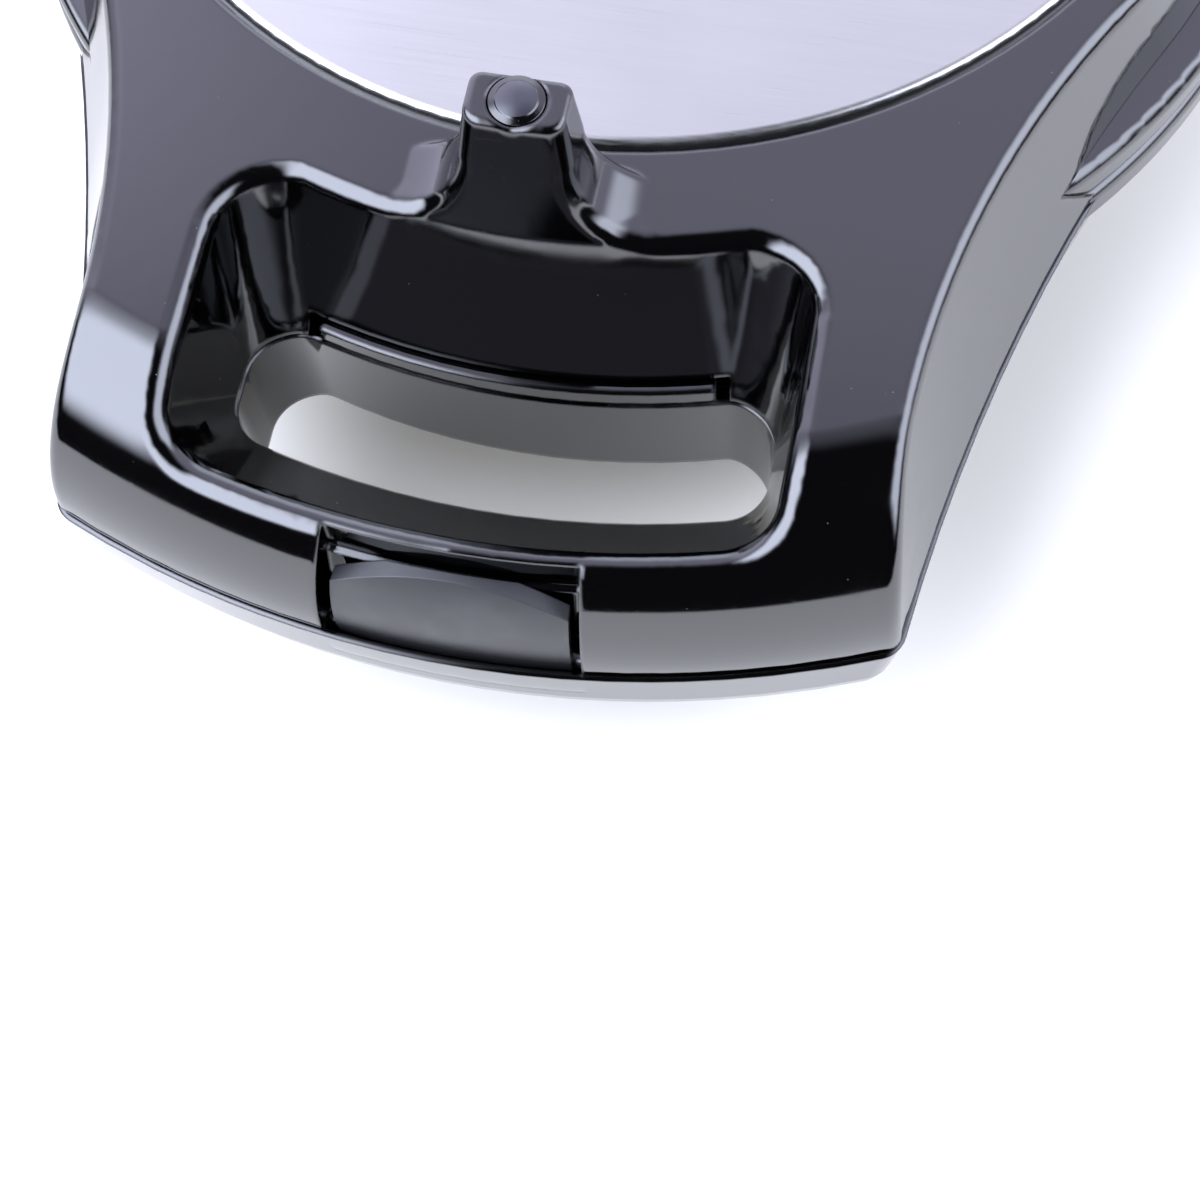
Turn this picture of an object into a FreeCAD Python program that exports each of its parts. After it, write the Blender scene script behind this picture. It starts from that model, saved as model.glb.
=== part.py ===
import FreeCAD, Part
import math
import os
from collections import namedtuple
from types import SimpleNamespace

import Sketcher
from FreeCAD import Placement, Rotation, Vector

# A table-top donut maker. The axis of the round body is x = 0, y = 0 while a piece is drawn, z = 0 is the
# counter, and the handle points along -Y. Every finished piece is then moved by one shift along Y that puts
# the origin under the middle of the whole object.

DRIVING_SIZES = {
    # Heights
    "foot_height": 6.0,
    "base_height": 46.0,
    "parting_gap": 1.0,
    "lid_height": 26.5,
    # Ring moulds and the plates that they are cast in
    "mould_ring_radius": 18.5,
    "mould_tube_radius": 13.0,
    "mould_wall": 2.2,
    "mould_spacing": 3.0,
    "plate_rim": 6.5,
    "plate_gap": 0.3,
    "plate_flange": 3.0,
    "plate_post_radius": 3.6,
    # Carrier rings that hold the plates
    "ring_width": 10.5,
    "ring_height": 8.0,
    "ring_gap": 0.3,
    "ring_edge_round": 2.0,
    "ring_flange": 2.5,
    "ring_flange_reach": 4.8,
    "ring_overhang": 4.5,
    "tab_half": 7.5,
    "tab_end": 6.0,
    # Round body and its steel disc
    "lid_draft": 6.5,
    "shell_wall": 2.5,
    "shell_edge_round": 2.5,
    "seat_wall": 2.3,
    "disc_border": 8.5,
    "disc_gap": 1.1,
    "disc_seat_depth": 1.6,
    "disc_rise": 0.4,
    "disc_roll": 1.4,
    "disc_sheet": 0.6,
    # Handle and the finger opening in it
    "handle_reach": 62.0,
    "arm_top_width": 13.5,
    "arm_low_width": 18.9,
    "waist_top_setback": 34.0,
    "waist_low_lead": 26.4,
    "bar_ridge_depth": 7.5,
    "bar_low_depth": 25.0,
    "grip_back_flare": 13.8,
    "grip_low_half": 46.5,
    "grip_side_flare": 3.0,
    "grip_low_corner": 8.0,
    "grip_top_corner": 10.0,
    "grip_edge_round": 3.0,
    # Indicator boss, lens and lamp
    "boss_gap": 1.9,
    "boss_depth": 9.0,
    "boss_lean": 5.5,
    "boss_height": 21.0,
    "boss_top_half": 7.6,
    "boss_neck_half": 8.8,
    "boss_flare_radius": 12.5,
    "boss_flare_sink": 0.25,
    "boss_corner_round": 2.0,
    "boss_top_round": 1.0,
    "lens_setback": 4.4,
    "lens_radius": 4.2,
    "lens_gap": 0.25,
    "lens_seat_depth": 1.6,
    "lens_dome": 0.8,
    "lens_stem_radius": 2.8,
    "lens_stem_length": 6.0,
    "lamp_radius": 2.6,
    "lamp_length": 18.0,
    "lamp_gap": 0.4,
    # Screws
    "screw_radius": 1.5,
    "screw_gap": 0.1,
    "screw_head_radius": 2.9,
    "screw_head_height": 1.9,
    "screw_bite": 2.0,
    "screw_end_wall": 1.0,
    "screw_sink_gap": 0.4,
    "plate_screw_setback": 2.2,
    "carrier_screw_spacing": 10.0,
    "clamp_screw_length": 6.0,
    "lid_screw_bite": 8.0,
    # Heaters and their clamps
    "heater_tube_radius": 3.25,
    "heater_gap": 0.3,
    "heater_bend": 10.0,
    "heater_end_gap": 1.0,
    "heater_pin_radius": 1.1,
    "heater_pin_length": 6.0,
    "clamp_thickness": 1.2,
    "clamp_half": 4.0,
    "clamp_overhang": 4.0,
    "clamp_post_setback": 8.0,
    "clamp_post_radius": 2.5,
    # Heat shields, thermostat, fuse and terminal block
    "shield_thickness": 0.6,
    "shield_border": 14.0,
    "shield_post_circle": 50.0,
    "shield_post_radius": 4.0,
    "upper_shield_gap": 3.0,
    "lower_shield_rim": 4.0,
    "stat_gap": 2.7,
    "stat_pad_radius": 9.0,
    "stat_pad_rise": 0.5,
    "stat_body_radius": 8.0,
    "stat_body_height": 6.0,
    "stat_cap_radius": 6.5,
    "stat_cap_height": 4.0,
    "bracket_thickness": 1.0,
    "bracket_half": 6.5,
    "bracket_reach": 27.0,
    "fuse_radius": 2.2,
    "fuse_length": 18.0,
    "fuse_lead_radius": 0.5,
    "fuse_lead_length": 9.0,
    "fuse_sleeve_wall": 1.0,
    "fuse_gap": 0.1,
    "terminal_length": 26.0,
    "terminal_width": 14.0,
    "terminal_height": 12.0,
    "terminal_x": 40.0,
    "terminal_setback": 5.0,
    "terminal_hole_radius": 2.0,
    # Base shell
    "base_front_lip": 0.8,
    "base_handle_height": 22.0,
    "base_handle_draft": 1.2,
    "base_handle_round": 9.0,
    "base_corner_round": 5.0,
    "bowl_draft": 9.0,
    "bowl_corner": 8.0,
    "bulge": 0.6,
    "base_post_radius": 5.0,
    "base_screw_sink": 20.0,
    "vent_start": 24.0,
    "vent_length": 16.0,
    "vent_half": 1.4,
    "tongue_height": 4.0,
    "tongue_thickness": 4.0,
    "tongue_setback": 0.4,
    "tongue_angle": 31.0,
    "tongue_gap": 1.2,
    "tongue_side_angle": 3.0,
    # Feet
    "foot_radius": 7.0,
    "foot_gap": 0.2,
    "foot_seat": 1.4,
    "foot_round": 1.5,
    "foot_x": 55.0,
    "foot_y": 55.0,
    # Cord gland
    "gland_rise": 1.0,
    "gland_stand": 1.0,
    "gland_boss_radius": 10.0,
    "gland_sleeve_radius": 5.8,
    "gland_gap": 0.1,
    "gland_bore_radius": 3.6,
    "gland_flange_radius": 8.5,
    "gland_flange": 3.5,
    "gland_depth": 12.0,
    # Hinge
    "hinge_gap": 0.1,
    "hinge_round": 7.0,
    "hinge_x": 38.0,
    "lug_width": 14.0,
    "lug_round": 16.0,
    "lug_drop": 5.0,
    "lug_gap": 0.6,
    "ear_round": 14.0,
    "ear_width": 5.0,
    "ear_gap": 0.4,
    "hinge_pin_radius": 2.0,
    "hinge_pin_gap": 0.05,
    "hinge_pin_overhang": 0.8,
    # Latch
    "notch_angle": 13.8,
    "notch_depth": 11.0,
    "notch_lean": 1.6,
    "notch_ledge_drop": 13.5,
    "notch_ledge_setback": 8.4,
    "notch_low_setback": 4.4,
    "latch_angle": 12.6,
    "latch_inset": 1.5,
    "latch_thickness": 2.2,
    "latch_crown_drop": 11.0,
    "latch_crown_radius": 44.0,
    "latch_bevel": 2.5,
    "latch_nub_drop": 19.4,
    "latch_nub_height": 1.6,
    "latch_nub_play": 0.6,
    "latch_nub_angle": 7.0,
    "latch_nub_gap": 0.8,
    "latch_pin_radius": 1.5,
    "latch_pin_gap": 0.05,
    "latch_pin_drop": 2.8,
    "latch_pin_setback": 4.7,
    "latch_pin_half": 22.6,
    "latch_knuckle_radius": 2.3,
    "latch_knuckle_half": 17.0,
    "latch_pocket_depth": 9.0,
    "latch_pocket_back": 9.0,
    "latch_rim_wall": 1.2,
}

# Sizes that follow from those above, as formulas in the same sheet: from the moulds outward, then the handle
TIED_SIZES = {
    "mould_pitch": "2 * (mould_ring_radius + mould_tube_radius) + mould_spacing",
    "plate_radius": "mould_pitch + mould_ring_radius + mould_tube_radius + plate_rim",
    "ring_radius": "plate_radius + ring_width",
    "ring_flange_radius": "plate_radius - ring_flange_reach",
    "plate_screw_circle": "ring_flange_radius - plate_screw_setback",
    "carrier_screw_circle": "plate_screw_circle - carrier_screw_spacing",
    "tab_inner_radius": "carrier_screw_circle - tab_end",
    "heater_leg_end": "tab_inner_radius - heater_pin_length - heater_end_gap",
    "clamp_post_circle": "mould_pitch / 2 + clamp_post_setback",
    "upper_shield_radius": "tab_inner_radius - upper_shield_gap",
    "lower_shield_radius": "shield_post_circle + shield_border",
    "stat_stack": "stat_pad_rise + bracket_thickness + stat_body_height + stat_cap_height + stat_gap",
    "shield_height": "base_height - mould_tube_radius - mould_wall - stat_stack - shield_thickness",
    "terminal_y": "lower_shield_radius + terminal_setback",
    "body_low_radius": "ring_radius - ring_overhang",
    "body_top_radius": "body_low_radius - lid_draft",
    "bowl_low_radius": "body_low_radius - bowl_draft",
    "disc_radius": "body_top_radius - disc_border",
    "boss_back_y": "disc_radius + disc_gap + boss_gap",
    "boss_front_radius": "boss_back_y + boss_depth",
    "lens_y": "boss_back_y + lens_setback",
    "grip_back_top_radius": "boss_front_radius + boss_lean",
    "grip_back_low_radius": "grip_back_top_radius + grip_back_flare",
    "grip_top_half": "grip_low_half + grip_side_flare",
    "front_radius": "body_low_radius + handle_reach",
    "grip_front_low_radius": "front_radius - bar_low_depth",
    "grip_front_top_radius": "front_radius - bar_ridge_depth",
    "waist_top_half": "grip_top_half + arm_top_width",
    "waist_top_y": "front_radius - waist_top_setback",
    "waist_low_half": "grip_low_half + arm_low_width",
    "waist_low_y": "front_radius + waist_low_lead",
    "notch_ledge_radius": "front_radius - notch_ledge_setback",
    "notch_low_radius": "front_radius - notch_low_setback",
    "latch_nub_reach": "notch_ledge_radius + latch_nub_play",
    "gland_height": "(foot_height + base_height - ring_height) / 2 + gland_rise",
    "gland_face_y": "body_low_radius + gland_stand",
    "hinge_y": "ring_radius + bulge + ring_gap + hinge_gap + hinge_round",
    "hinge_height": "base_height + parting_gap / 2",
}

# How far a cut runs past what it cuts, how far a joined form reaches in, and what counts as equal
OVERSHOOT = 6.0
OVERLAP = 1.0
NEAR = 0.02
FULL_TURN = 360.0
HALF_TURN = 180.0
MOULDS_AROUND = 6
CLAMPS = 3
VENTS = 12
BETWEEN_MOULDS = 30.0
CLAMP_SPIN = 90.0
UNDER_ROUND_ANGLES = (0.0, 22.5, 45.0, 67.5, 90.0)
COS_BETWEEN = math.cos(math.radians(BETWEEN_MOULDS))
SIN_BETWEEN = math.sin(math.radians(BETWEEN_MOULDS))

Line = namedtuple("Line", "x y")
Arc = namedtuple("Arc", "x y centre radius turn")
LEFT_TURN = 1
RIGHT_TURN = -1


class Size:
    """A number together with the formula that ties it to the sheet."""

    def __init__(self, value, formula):
        self.value = value
        self.formula = formula

    def joined(self, sign, value, other, swapped=False):
        first, second = (other, self) if swapped else (self, other)
        return Size(value, f"({first.formula} {sign} {second.formula})")

    def __add__(self, other):
        other = size(other)
        return self.joined("+", self.value + other.value, other)

    def __sub__(self, other):
        other = size(other)
        return self.joined("-", self.value - other.value, other)

    def __rsub__(self, other):
        other = size(other)
        return self.joined("-", other.value - self.value, other, swapped=True)

    def __mul__(self, other):
        other = size(other)
        return self.joined("*", self.value * other.value, other)

    def __truediv__(self, other):
        other = size(other)
        return self.joined("/", self.value / other.value, other)

    def __neg__(self):
        return Size(-self.value, f"(0 - {self.formula})")

    __radd__ = __add__
    __rmul__ = __mul__


def size(number):
    """A plain number as a Size, or the Size itself."""
    if isinstance(number, Size):
        return number
    return Size(float(number), f"({float(number)!r})")


def line(x, y):
    return Line(size(x), size(y))


def arc(x, y, centre, radius, turn):
    return Arc(size(x), size(y), (size(centre[0]), size(centre[1])), size(radius), turn)


def root(number):
    return Size(math.sqrt(number.value), f"sqrt({number.formula})")


def make_sheet(doc):
    """The sheet of driving sizes, and one named Size for each of its cells."""
    sheet = doc.addObject("Spreadsheet::Sheet", "Sizes")
    cells = dict(DRIVING_SIZES)
    cells.update({alias: f"={formula}" for alias, formula in TIED_SIZES.items()})
    for row, (alias, content) in enumerate(cells.items(), start=1):
        sheet.set(f"A{row}", str(content))
        sheet.setAlias(f"A{row}", alias)
    doc.recompute()
    return SimpleNamespace(**{alias: Size(float(sheet.get(alias)), f"Sizes.{alias}") for alias in cells})


def bind(thing, path, number):
    thing.setExpression(path, size(number).formula)


def origin_part(body, role):
    """One of the body's own planes or axes."""
    return [feature for feature in body.Origin.OriginFeatures if feature.Role == role][0]


def new_sketch(body, name, role, offset=0):
    """A sketch on one of the body's own planes, moved along that plane's normal."""
    sketch = body.newObject("Sketcher::SketchObject", name)
    sketch.AttachmentSupport = [(origin_part(body, role), "")]
    sketch.MapMode = "FlatFace"
    bind(sketch, "AttachmentOffset.Base.z", offset)
    return sketch


def fix_point(sketch, geometry, point, place):
    """Ties one point of a drawn line or arc to its x and y."""
    for kind, number in (("DistanceX", place.x), ("DistanceY", place.y)):
        rule = sketch.addConstraint(Sketcher.Constraint(kind, -1, 1, geometry, point, number.value))
        bind(sketch, f"Constraints[{rule}]", number)


def draw(sketch, path, closed=True):
    """An outline: each step ends at its own x and y, and starts where the step before it ended."""
    first = sketch.GeometryCount
    begin_of = {id(step): path[index - 1] for index, step in enumerate(path)}
    steps = path if closed else path[1:]
    for step in steps:
        begin = Vector(begin_of[id(step)].x.value, begin_of[id(step)].y.value, 0)
        end = Vector(step.x.value, step.y.value, 0)
        if isinstance(step, Line):
            sketch.addGeometry(Part.LineSegment(begin, end), False)
            continue
        centre = Vector(step.centre[0].value, step.centre[1].value, 0)
        if step.turn == RIGHT_TURN:
            begin, end = end, begin
        angles = [math.atan2(point.y - centre.y, point.x - centre.x) for point in (begin, end)]
        circle = Part.Circle(centre, Vector(0, 0, 1), step.radius.value)
        sketch.addGeometry(Part.ArcOfCircle(circle, angles[0], angles[1]), False)
    for index, step in enumerate(steps):
        geometry = first + index
        last = index + 1 == len(steps)
        backward = isinstance(step, Arc) and step.turn == RIGHT_TURN
        end_point = 1 if backward else 2
        next_step = steps[(index + 1) % len(steps)]
        next_point = 2 if isinstance(next_step, Arc) and next_step.turn == RIGHT_TURN else 1
        if closed or not last:
            following = first + (index + 1) % len(steps)
            meeting = Sketcher.Constraint("Coincident", geometry, end_point, following, next_point)
            sketch.addConstraint(meeting)
        fix_point(sketch, geometry, end_point, step)
        if not closed and index == 0:
            fix_point(sketch, geometry, 3 - end_point, path[0])
        if isinstance(step, Arc):
            rule = sketch.addConstraint(Sketcher.Constraint("Radius", geometry, step.radius.value))
            bind(sketch, f"Constraints[{rule}]", step.radius)
    return sketch


def circle(sketch, x, y, radius):
    x, y, radius = size(x), size(y), size(radius)
    shape = Part.Circle(Vector(x.value, y.value, 0), Vector(0, 0, 1), radius.value)
    geometry = sketch.addGeometry(shape, False)
    fix_point(sketch, geometry, 3, Line(x, y))
    rule = sketch.addConstraint(Sketcher.Constraint("Radius", geometry, radius.value))
    bind(sketch, f"Constraints[{rule}]", radius)
    return sketch


def open_wire(sketch, start, path):
    """An open line that starts at a point and goes through the given steps."""
    return draw(sketch, [line(*start)] + path, closed=False)


def pad(body, sketch, length, name, midplane=False, reversed_side=False):
    feature = body.newObject("PartDesign::Pad", name)
    feature.Profile = sketch
    bind(feature, "Length", length)
    feature.Midplane = midplane
    feature.Reversed = reversed_side
    return feature


def pocket(body, sketch, depth, name, midplane=False, reversed_side=False):
    feature = body.newObject("PartDesign::Pocket", name)
    feature.Profile = sketch
    bind(feature, "Length", depth)
    feature.Midplane = midplane
    feature.Reversed = reversed_side
    return feature


def turned(body, sketch, kind, name, angle=FULL_TURN, midplane=False):
    """A Revolution or Groove about the vertical axis of the sketch."""
    feature = body.newObject(f"PartDesign::{kind}", name)
    feature.Profile = sketch
    feature.ReferenceAxis = (sketch, ["V_Axis"])
    feature.Midplane = midplane
    bind(feature, "Angle", angle)
    return feature


def loft(body, sketches, kind, name):
    feature = body.newObject(f"PartDesign::{kind}", name)
    feature.Profile = sketches[0]
    feature.Sections = sketches[1:]
    feature.Ruled = True
    return feature


def handle_outline(body_radius, waist_half, waist_y, front_radius, corner):
    """The plan of the round body with its handle: a circle, hollow flanks, a front arc and round corners."""
    flank = (waist_half * waist_half + waist_y * waist_y - body_radius * body_radius) / (
        2 * (body_radius - waist_half))
    centre = (waist_half + flank, -waist_y)
    share = body_radius / (body_radius + flank)
    joint = (centre[0] * share, centre[1] * share)
    reach = root(centre[0] * centre[0] + centre[1] * centre[1])
    inner = front_radius - corner
    outer = flank + corner
    along = (inner * inner - outer * outer + reach * reach) / (2 * reach)
    across = root(inner * inner - along * along)
    pivot = ((centre[0] * along + centre[1] * across) / reach,
             (centre[1] * along - centre[0] * across) / reach)
    front_share = front_radius / inner
    flank_share = flank / outer
    front_end = (pivot[0] * front_share, pivot[1] * front_share)
    flank_end = (centre[0] + (pivot[0] - centre[0]) * flank_share,
                 centre[1] + (pivot[1] - centre[1]) * flank_share)
    axis = (0, 0)
    return [
        arc(-joint[0], joint[1], axis, body_radius, LEFT_TURN),
        arc(-flank_end[0], flank_end[1], (-centre[0], centre[1]), flank, RIGHT_TURN),
        arc(-front_end[0], front_end[1], (-pivot[0], pivot[1]), corner, LEFT_TURN),
        arc(front_end[0], front_end[1], axis, front_radius, LEFT_TURN),
        arc(flank_end[0], flank_end[1], pivot, corner, LEFT_TURN),
        arc(joint[0], joint[1], centre, flank, RIGHT_TURN),
    ]


def grip_outline(back_radius, front_radius, half_width, corner):
    """The plan of the finger opening: two arcs about the body's axis, straight sides and round corners."""
    corner_x = half_width - corner
    back_reach = back_radius + corner
    front_reach = front_radius - corner
    back_y = -root(back_reach * back_reach - corner_x * corner_x)
    front_y = -root(front_reach * front_reach - corner_x * corner_x)
    back_share = back_radius / back_reach
    front_share = front_radius / front_reach
    axis = (0, 0)
    return [
        arc(-corner_x * back_share, back_y * back_share, axis, back_radius, RIGHT_TURN),
        arc(-half_width, back_y, (-corner_x, back_y), corner, LEFT_TURN),
        line(-half_width, front_y),
        arc(-corner_x * front_share, front_y * front_share, (-corner_x, front_y), corner, LEFT_TURN),
        arc(corner_x * front_share, front_y * front_share, axis, front_radius, LEFT_TURN),
        arc(half_width, front_y, (corner_x, front_y), corner, LEFT_TURN),
        line(half_width, back_y),
        arc(corner_x * back_share, back_y * back_share, (corner_x, back_y), corner, LEFT_TURN),
    ]


doc = FreeCAD.newDocument("donut_maker")
s = make_sheet(doc)
pieces = []

# Levels and radii that several pieces share
lid_low = s.base_height + s.parting_gap
lid_top = lid_low + s.lid_height
boss_top = lid_top + s.boss_height
nose_radius = s.lid_height
nose_centre = s.front_radius - nose_radius
ring_seat_in_lid = lid_low + s.ring_height
ring_seat_in_base = s.base_height - s.ring_height
lid_ceiling = lid_top - s.disc_seat_depth - s.seat_wall
base_floor = s.foot_height + s.shell_wall
handle_low = s.base_height - s.base_handle_height
base_body_radius = s.body_low_radius + s.bulge
base_ring_radius = s.ring_radius + s.bulge
bowl_top_radius = s.body_low_radius - s.bulge
bulge_radius = s.mould_tube_radius + s.mould_wall
heater_ring_radius = s.mould_pitch / 2
heater_reach = bulge_radius + s.heater_tube_radius + s.heater_gap
heater_offset = s.mould_pitch / 2 - s.mould_ring_radius
heater_level = root(heater_reach * heater_reach - heater_offset * heater_offset)
clamp_level = heater_level + s.heater_tube_radius
tab_level = s.ring_height - s.ring_flange
screw_hole_radius = s.screw_radius + s.screw_gap
shift = (s.front_radius + s.base_front_lip - s.hinge_y - s.hinge_round) / 2
latch_pin_y = -(s.front_radius - s.latch_pin_setback)
latch_pin_z = s.base_height - s.latch_pin_drop
lens_seat = boss_top - s.lens_seat_depth


def new_body(label):
    body = doc.addObject("PartDesign::Body", label)
    body.Label = label
    body.AllowCompound = True
    return body


def finish(piece, height=0, flipped=False, spin=0.0):
    """Puts a piece in its place: flipped pieces belong to the lower half and hang from its parting face."""
    turn = Rotation(Vector(0, 1, 0), HALF_TURN) if flipped else Rotation()
    piece.Placement = Placement(Vector(), turn * Rotation(Vector(0, 0, 1), spin))
    bind(piece, "Placement.Base.y", shift)
    bind(piece, "Placement.Base.z", height)
    pieces.append(piece)


def around(body, features, count, name):
    """Copies of the features around the vertical axis."""
    pattern = body.newObject("PartDesign::PolarPattern", name)
    pattern.Originals = features
    pattern.Axis = (origin_part(body, "Z_Axis"), [""])
    pattern.Angle = FULL_TURN
    pattern.Occurrences = count
    body.Tip = pattern
    return pattern


def middle(edge):
    return edge.valueAt((edge.FirstParameter + edge.LastParameter) / 2)


def rounded(body, radius, name, chosen):
    """A fillet on the edges that a test picks from the body as it stands."""
    doc.recompute()
    last = body.Tip
    names = [f"Edge{index}" for index, edge in enumerate(last.Shape.Edges, start=1) if chosen(edge)]
    feature = body.newObject("PartDesign::Fillet", name)
    feature.Base = (last, names)
    bind(feature, "Radius", radius)
    return feature


def lowest(edge):
    return min(vertex.Z for vertex in edge.Vertexes)


def highest(edge):
    return max(vertex.Z for vertex in edge.Vertexes)


def level(edge, height):
    return abs(lowest(edge) - height.value) < NEAR and abs(highest(edge) - height.value) < NEAR


def block(body, name, height, points):
    return draw(new_sketch(body, name, "XY_Plane", height), [line(*point) for point in points])


def section(body, name, points):
    """An outline in the plane through the vertical axis and the handle."""
    return draw(new_sketch(body, name, "YZ_Plane"), [line(*point) for point in points])


def disc(body, name, height, x, y, radius):
    return circle(new_sketch(body, name, "XY_Plane", height), x, y, radius)


# Lid shell
def grip_core():
    """The space that the fingers pass through, widening upward, with a steeper face below the boss."""
    core = new_body("grip_core")
    back_slope = (s.grip_back_low_radius - s.grip_back_top_radius) / s.lid_height
    boss_slope = (s.grip_back_top_radius - s.boss_front_radius) / s.boss_height
    front_slope = (s.grip_front_top_radius - s.grip_front_low_radius) / s.lid_height
    side_slope = (s.grip_top_half - s.grip_low_half) / s.lid_height
    under = size(-OVERLAP)
    over = s.boss_height + OVERSHOOT
    levels = [
        (under, s.grip_back_low_radius - back_slope * under, s.grip_low_corner),
        (s.lid_height, s.grip_back_top_radius, s.grip_top_corner),
        (s.lid_height + over, s.grip_back_top_radius - boss_slope * over, s.grip_top_corner),
    ]
    outlines = []
    for index, (rise, back, corner) in enumerate(levels):
        sketch = new_sketch(core, f"grip_outline_{index}", "XY_Plane", lid_low + rise)
        front = s.grip_front_low_radius + front_slope * rise
        half = s.grip_low_half + side_slope * rise
        outlines.append(draw(sketch, grip_outline(back, front, half, corner)))
    loft(core, outlines, "AdditiveLoft", "grip_space")
    return core


def boss_outline(body):
    centre_z = lid_top + s.boss_flare_radius - s.boss_flare_sink
    centre_x = s.boss_neck_half + s.boss_flare_radius
    drop = s.boss_flare_radius - s.boss_flare_sink
    foot = centre_x - root(s.boss_flare_radius * s.boss_flare_radius - drop * drop)
    root_level = lid_top - OVERLAP
    return draw(new_sketch(body, "boss_outline", "XZ_Plane", s.boss_back_y), [
        line(-s.boss_top_half, boss_top),
        line(-s.boss_neck_half, centre_z),
        arc(-foot, lid_top, (-centre_x, centre_z), s.boss_flare_radius, RIGHT_TURN),
        line(-foot, root_level),
        line(foot, root_level),
        line(foot, lid_top),
        arc(s.boss_neck_half, centre_z, (centre_x, centre_z), s.boss_flare_radius, RIGHT_TURN),
        line(s.boss_top_half, boss_top),
    ])


def hinge_sides(width, inner):
    """Where a hinge plate of some width starts on each side, measured along X."""
    return (("right", inner), ("left", -inner - width))


def lid_shell():
    body = new_body("lid_shell")
    over = s.front_radius + OVERSHOOT
    low = draw(new_sketch(body, "lid_low_outline", "XY_Plane", lid_low),
               handle_outline(s.body_low_radius, s.waist_low_half, s.waist_low_y, over, s.shell_edge_round))
    top = draw(new_sketch(body, "lid_top_outline", "XY_Plane", lid_top),
               handle_outline(s.body_top_radius, s.waist_top_half, s.waist_top_y, over, s.shell_edge_round))
    loft(body, [low, top], "AdditiveLoft", "lid_block")
    nose = draw(new_sketch(body, "nose_outline", "YZ_Plane"), [
        line(-over - OVERSHOOT, lid_low - OVERSHOOT),
        line(-s.front_radius, lid_low - OVERSHOOT),
        line(-s.front_radius, lid_low),
        arc(-nose_centre, lid_top, (-nose_centre, lid_low), nose_radius, RIGHT_TURN),
        line(-nose_centre, lid_top + OVERSHOOT),
        line(-over - OVERSHOOT, lid_top + OVERSHOOT),
    ])
    turned(body, nose, "Groove", "nose")

    def outline_edge(edge):
        point = middle(edge)
        on_nose = abs(math.hypot(point.x, point.y) - nose_centre.value) < OVERLAP
        corner = abs(lowest(edge) - lid_low.value) < NEAR and abs(highest(edge) - lid_top.value) < NEAR
        return (level(edge, lid_top) and not on_nose) or (corner and point.y < -s.body_low_radius.value)

    rounded(body, s.shell_edge_round, "lid_edge_round", outline_edge)
    pad(body, boss_outline(body), s.grip_back_top_radius - s.boss_back_y + OVERSHOOT / 2, "boss")
    lid_lugs(body)

    core = grip_core()
    doc.recompute()
    core_shape = core.Shape
    cut = body.newObject("PartDesign::Boolean", "grip_opening")
    cut.Type = "Cut"
    cut.setObjects([core])

    def grip_edge(edge):
        point = middle(edge)
        on_core = core_shape.distToShape(Part.Vertex(point))[0] < NEAR
        return on_core and lowest(edge) > lid_low.value + OVERLAP and abs(point.x) > OVERLAP

    def boss_back_edge(edge):
        point = middle(edge)
        on_back = abs(point.y + s.boss_back_y.value) < NEAR
        return on_back and point.z > lid_top.value + OVERLAP and abs(point.x) > OVERLAP

    rounded(body, s.grip_edge_round, "grip_edge_round", grip_edge)
    rounded(body, s.boss_corner_round, "boss_corner_round", boss_back_edge)
    rounded(body, s.boss_top_round, "boss_top_round", lambda edge: level(edge, boss_top))

    pocket(body, disc(body, "disc_seat_outline", lid_top, 0, 0, s.disc_radius + s.disc_gap),
           s.disc_seat_depth, "disc_seat")
    lid_hollow(body)
    lid_screw_bosses(body)
    lid_latch_notch(body)
    lens_y = -s.lens_y
    pocket(body, disc(body, "lens_seat_outline", boss_top, 0, lens_y, s.lens_radius + s.lens_gap),
           s.lens_seat_depth, "lens_seat")
    pocket(body, disc(body, "lamp_hole_outline", boss_top, 0, lens_y, s.lamp_radius + s.lamp_gap),
           s.lens_seat_depth + s.lens_stem_length + s.lamp_length, "lamp_hole")
    finish(body)


def lid_lugs(body):
    """Two lugs that reach back over the carrier ring and down to the hinge."""
    back_of_ring = s.hinge_y - s.hinge_round
    root_y = s.body_top_radius - OVERSHOOT
    lug_top = lid_top - s.lug_drop
    crown_y = s.hinge_y + s.hinge_round - s.lug_round
    pivot = (s.hinge_y, s.hinge_height)
    for side, start in hinge_sides(s.lug_width, s.hinge_x - s.lug_width / 2):
        sketch = draw(new_sketch(body, f"lug_outline_{side}", "YZ_Plane", start), [
            line(root_y, ring_seat_in_lid + s.lug_gap),
            line(back_of_ring, ring_seat_in_lid + s.lug_gap),
            line(back_of_ring, s.hinge_height),
            arc(s.hinge_y, s.hinge_height - s.hinge_round, pivot, s.hinge_round, LEFT_TURN),
            arc(s.hinge_y + s.hinge_round, s.hinge_height, pivot, s.hinge_round, LEFT_TURN),
            line(s.hinge_y + s.hinge_round, lug_top - s.lug_round),
            arc(crown_y, lug_top, (crown_y, lug_top - s.lug_round), s.lug_round, LEFT_TURN),
            line(root_y, lug_top),
        ])
        circle(sketch, s.hinge_y, s.hinge_height, s.hinge_pin_radius + s.hinge_pin_gap)
        pad(body, sketch, s.lug_width, f"lug_{side}")


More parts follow.
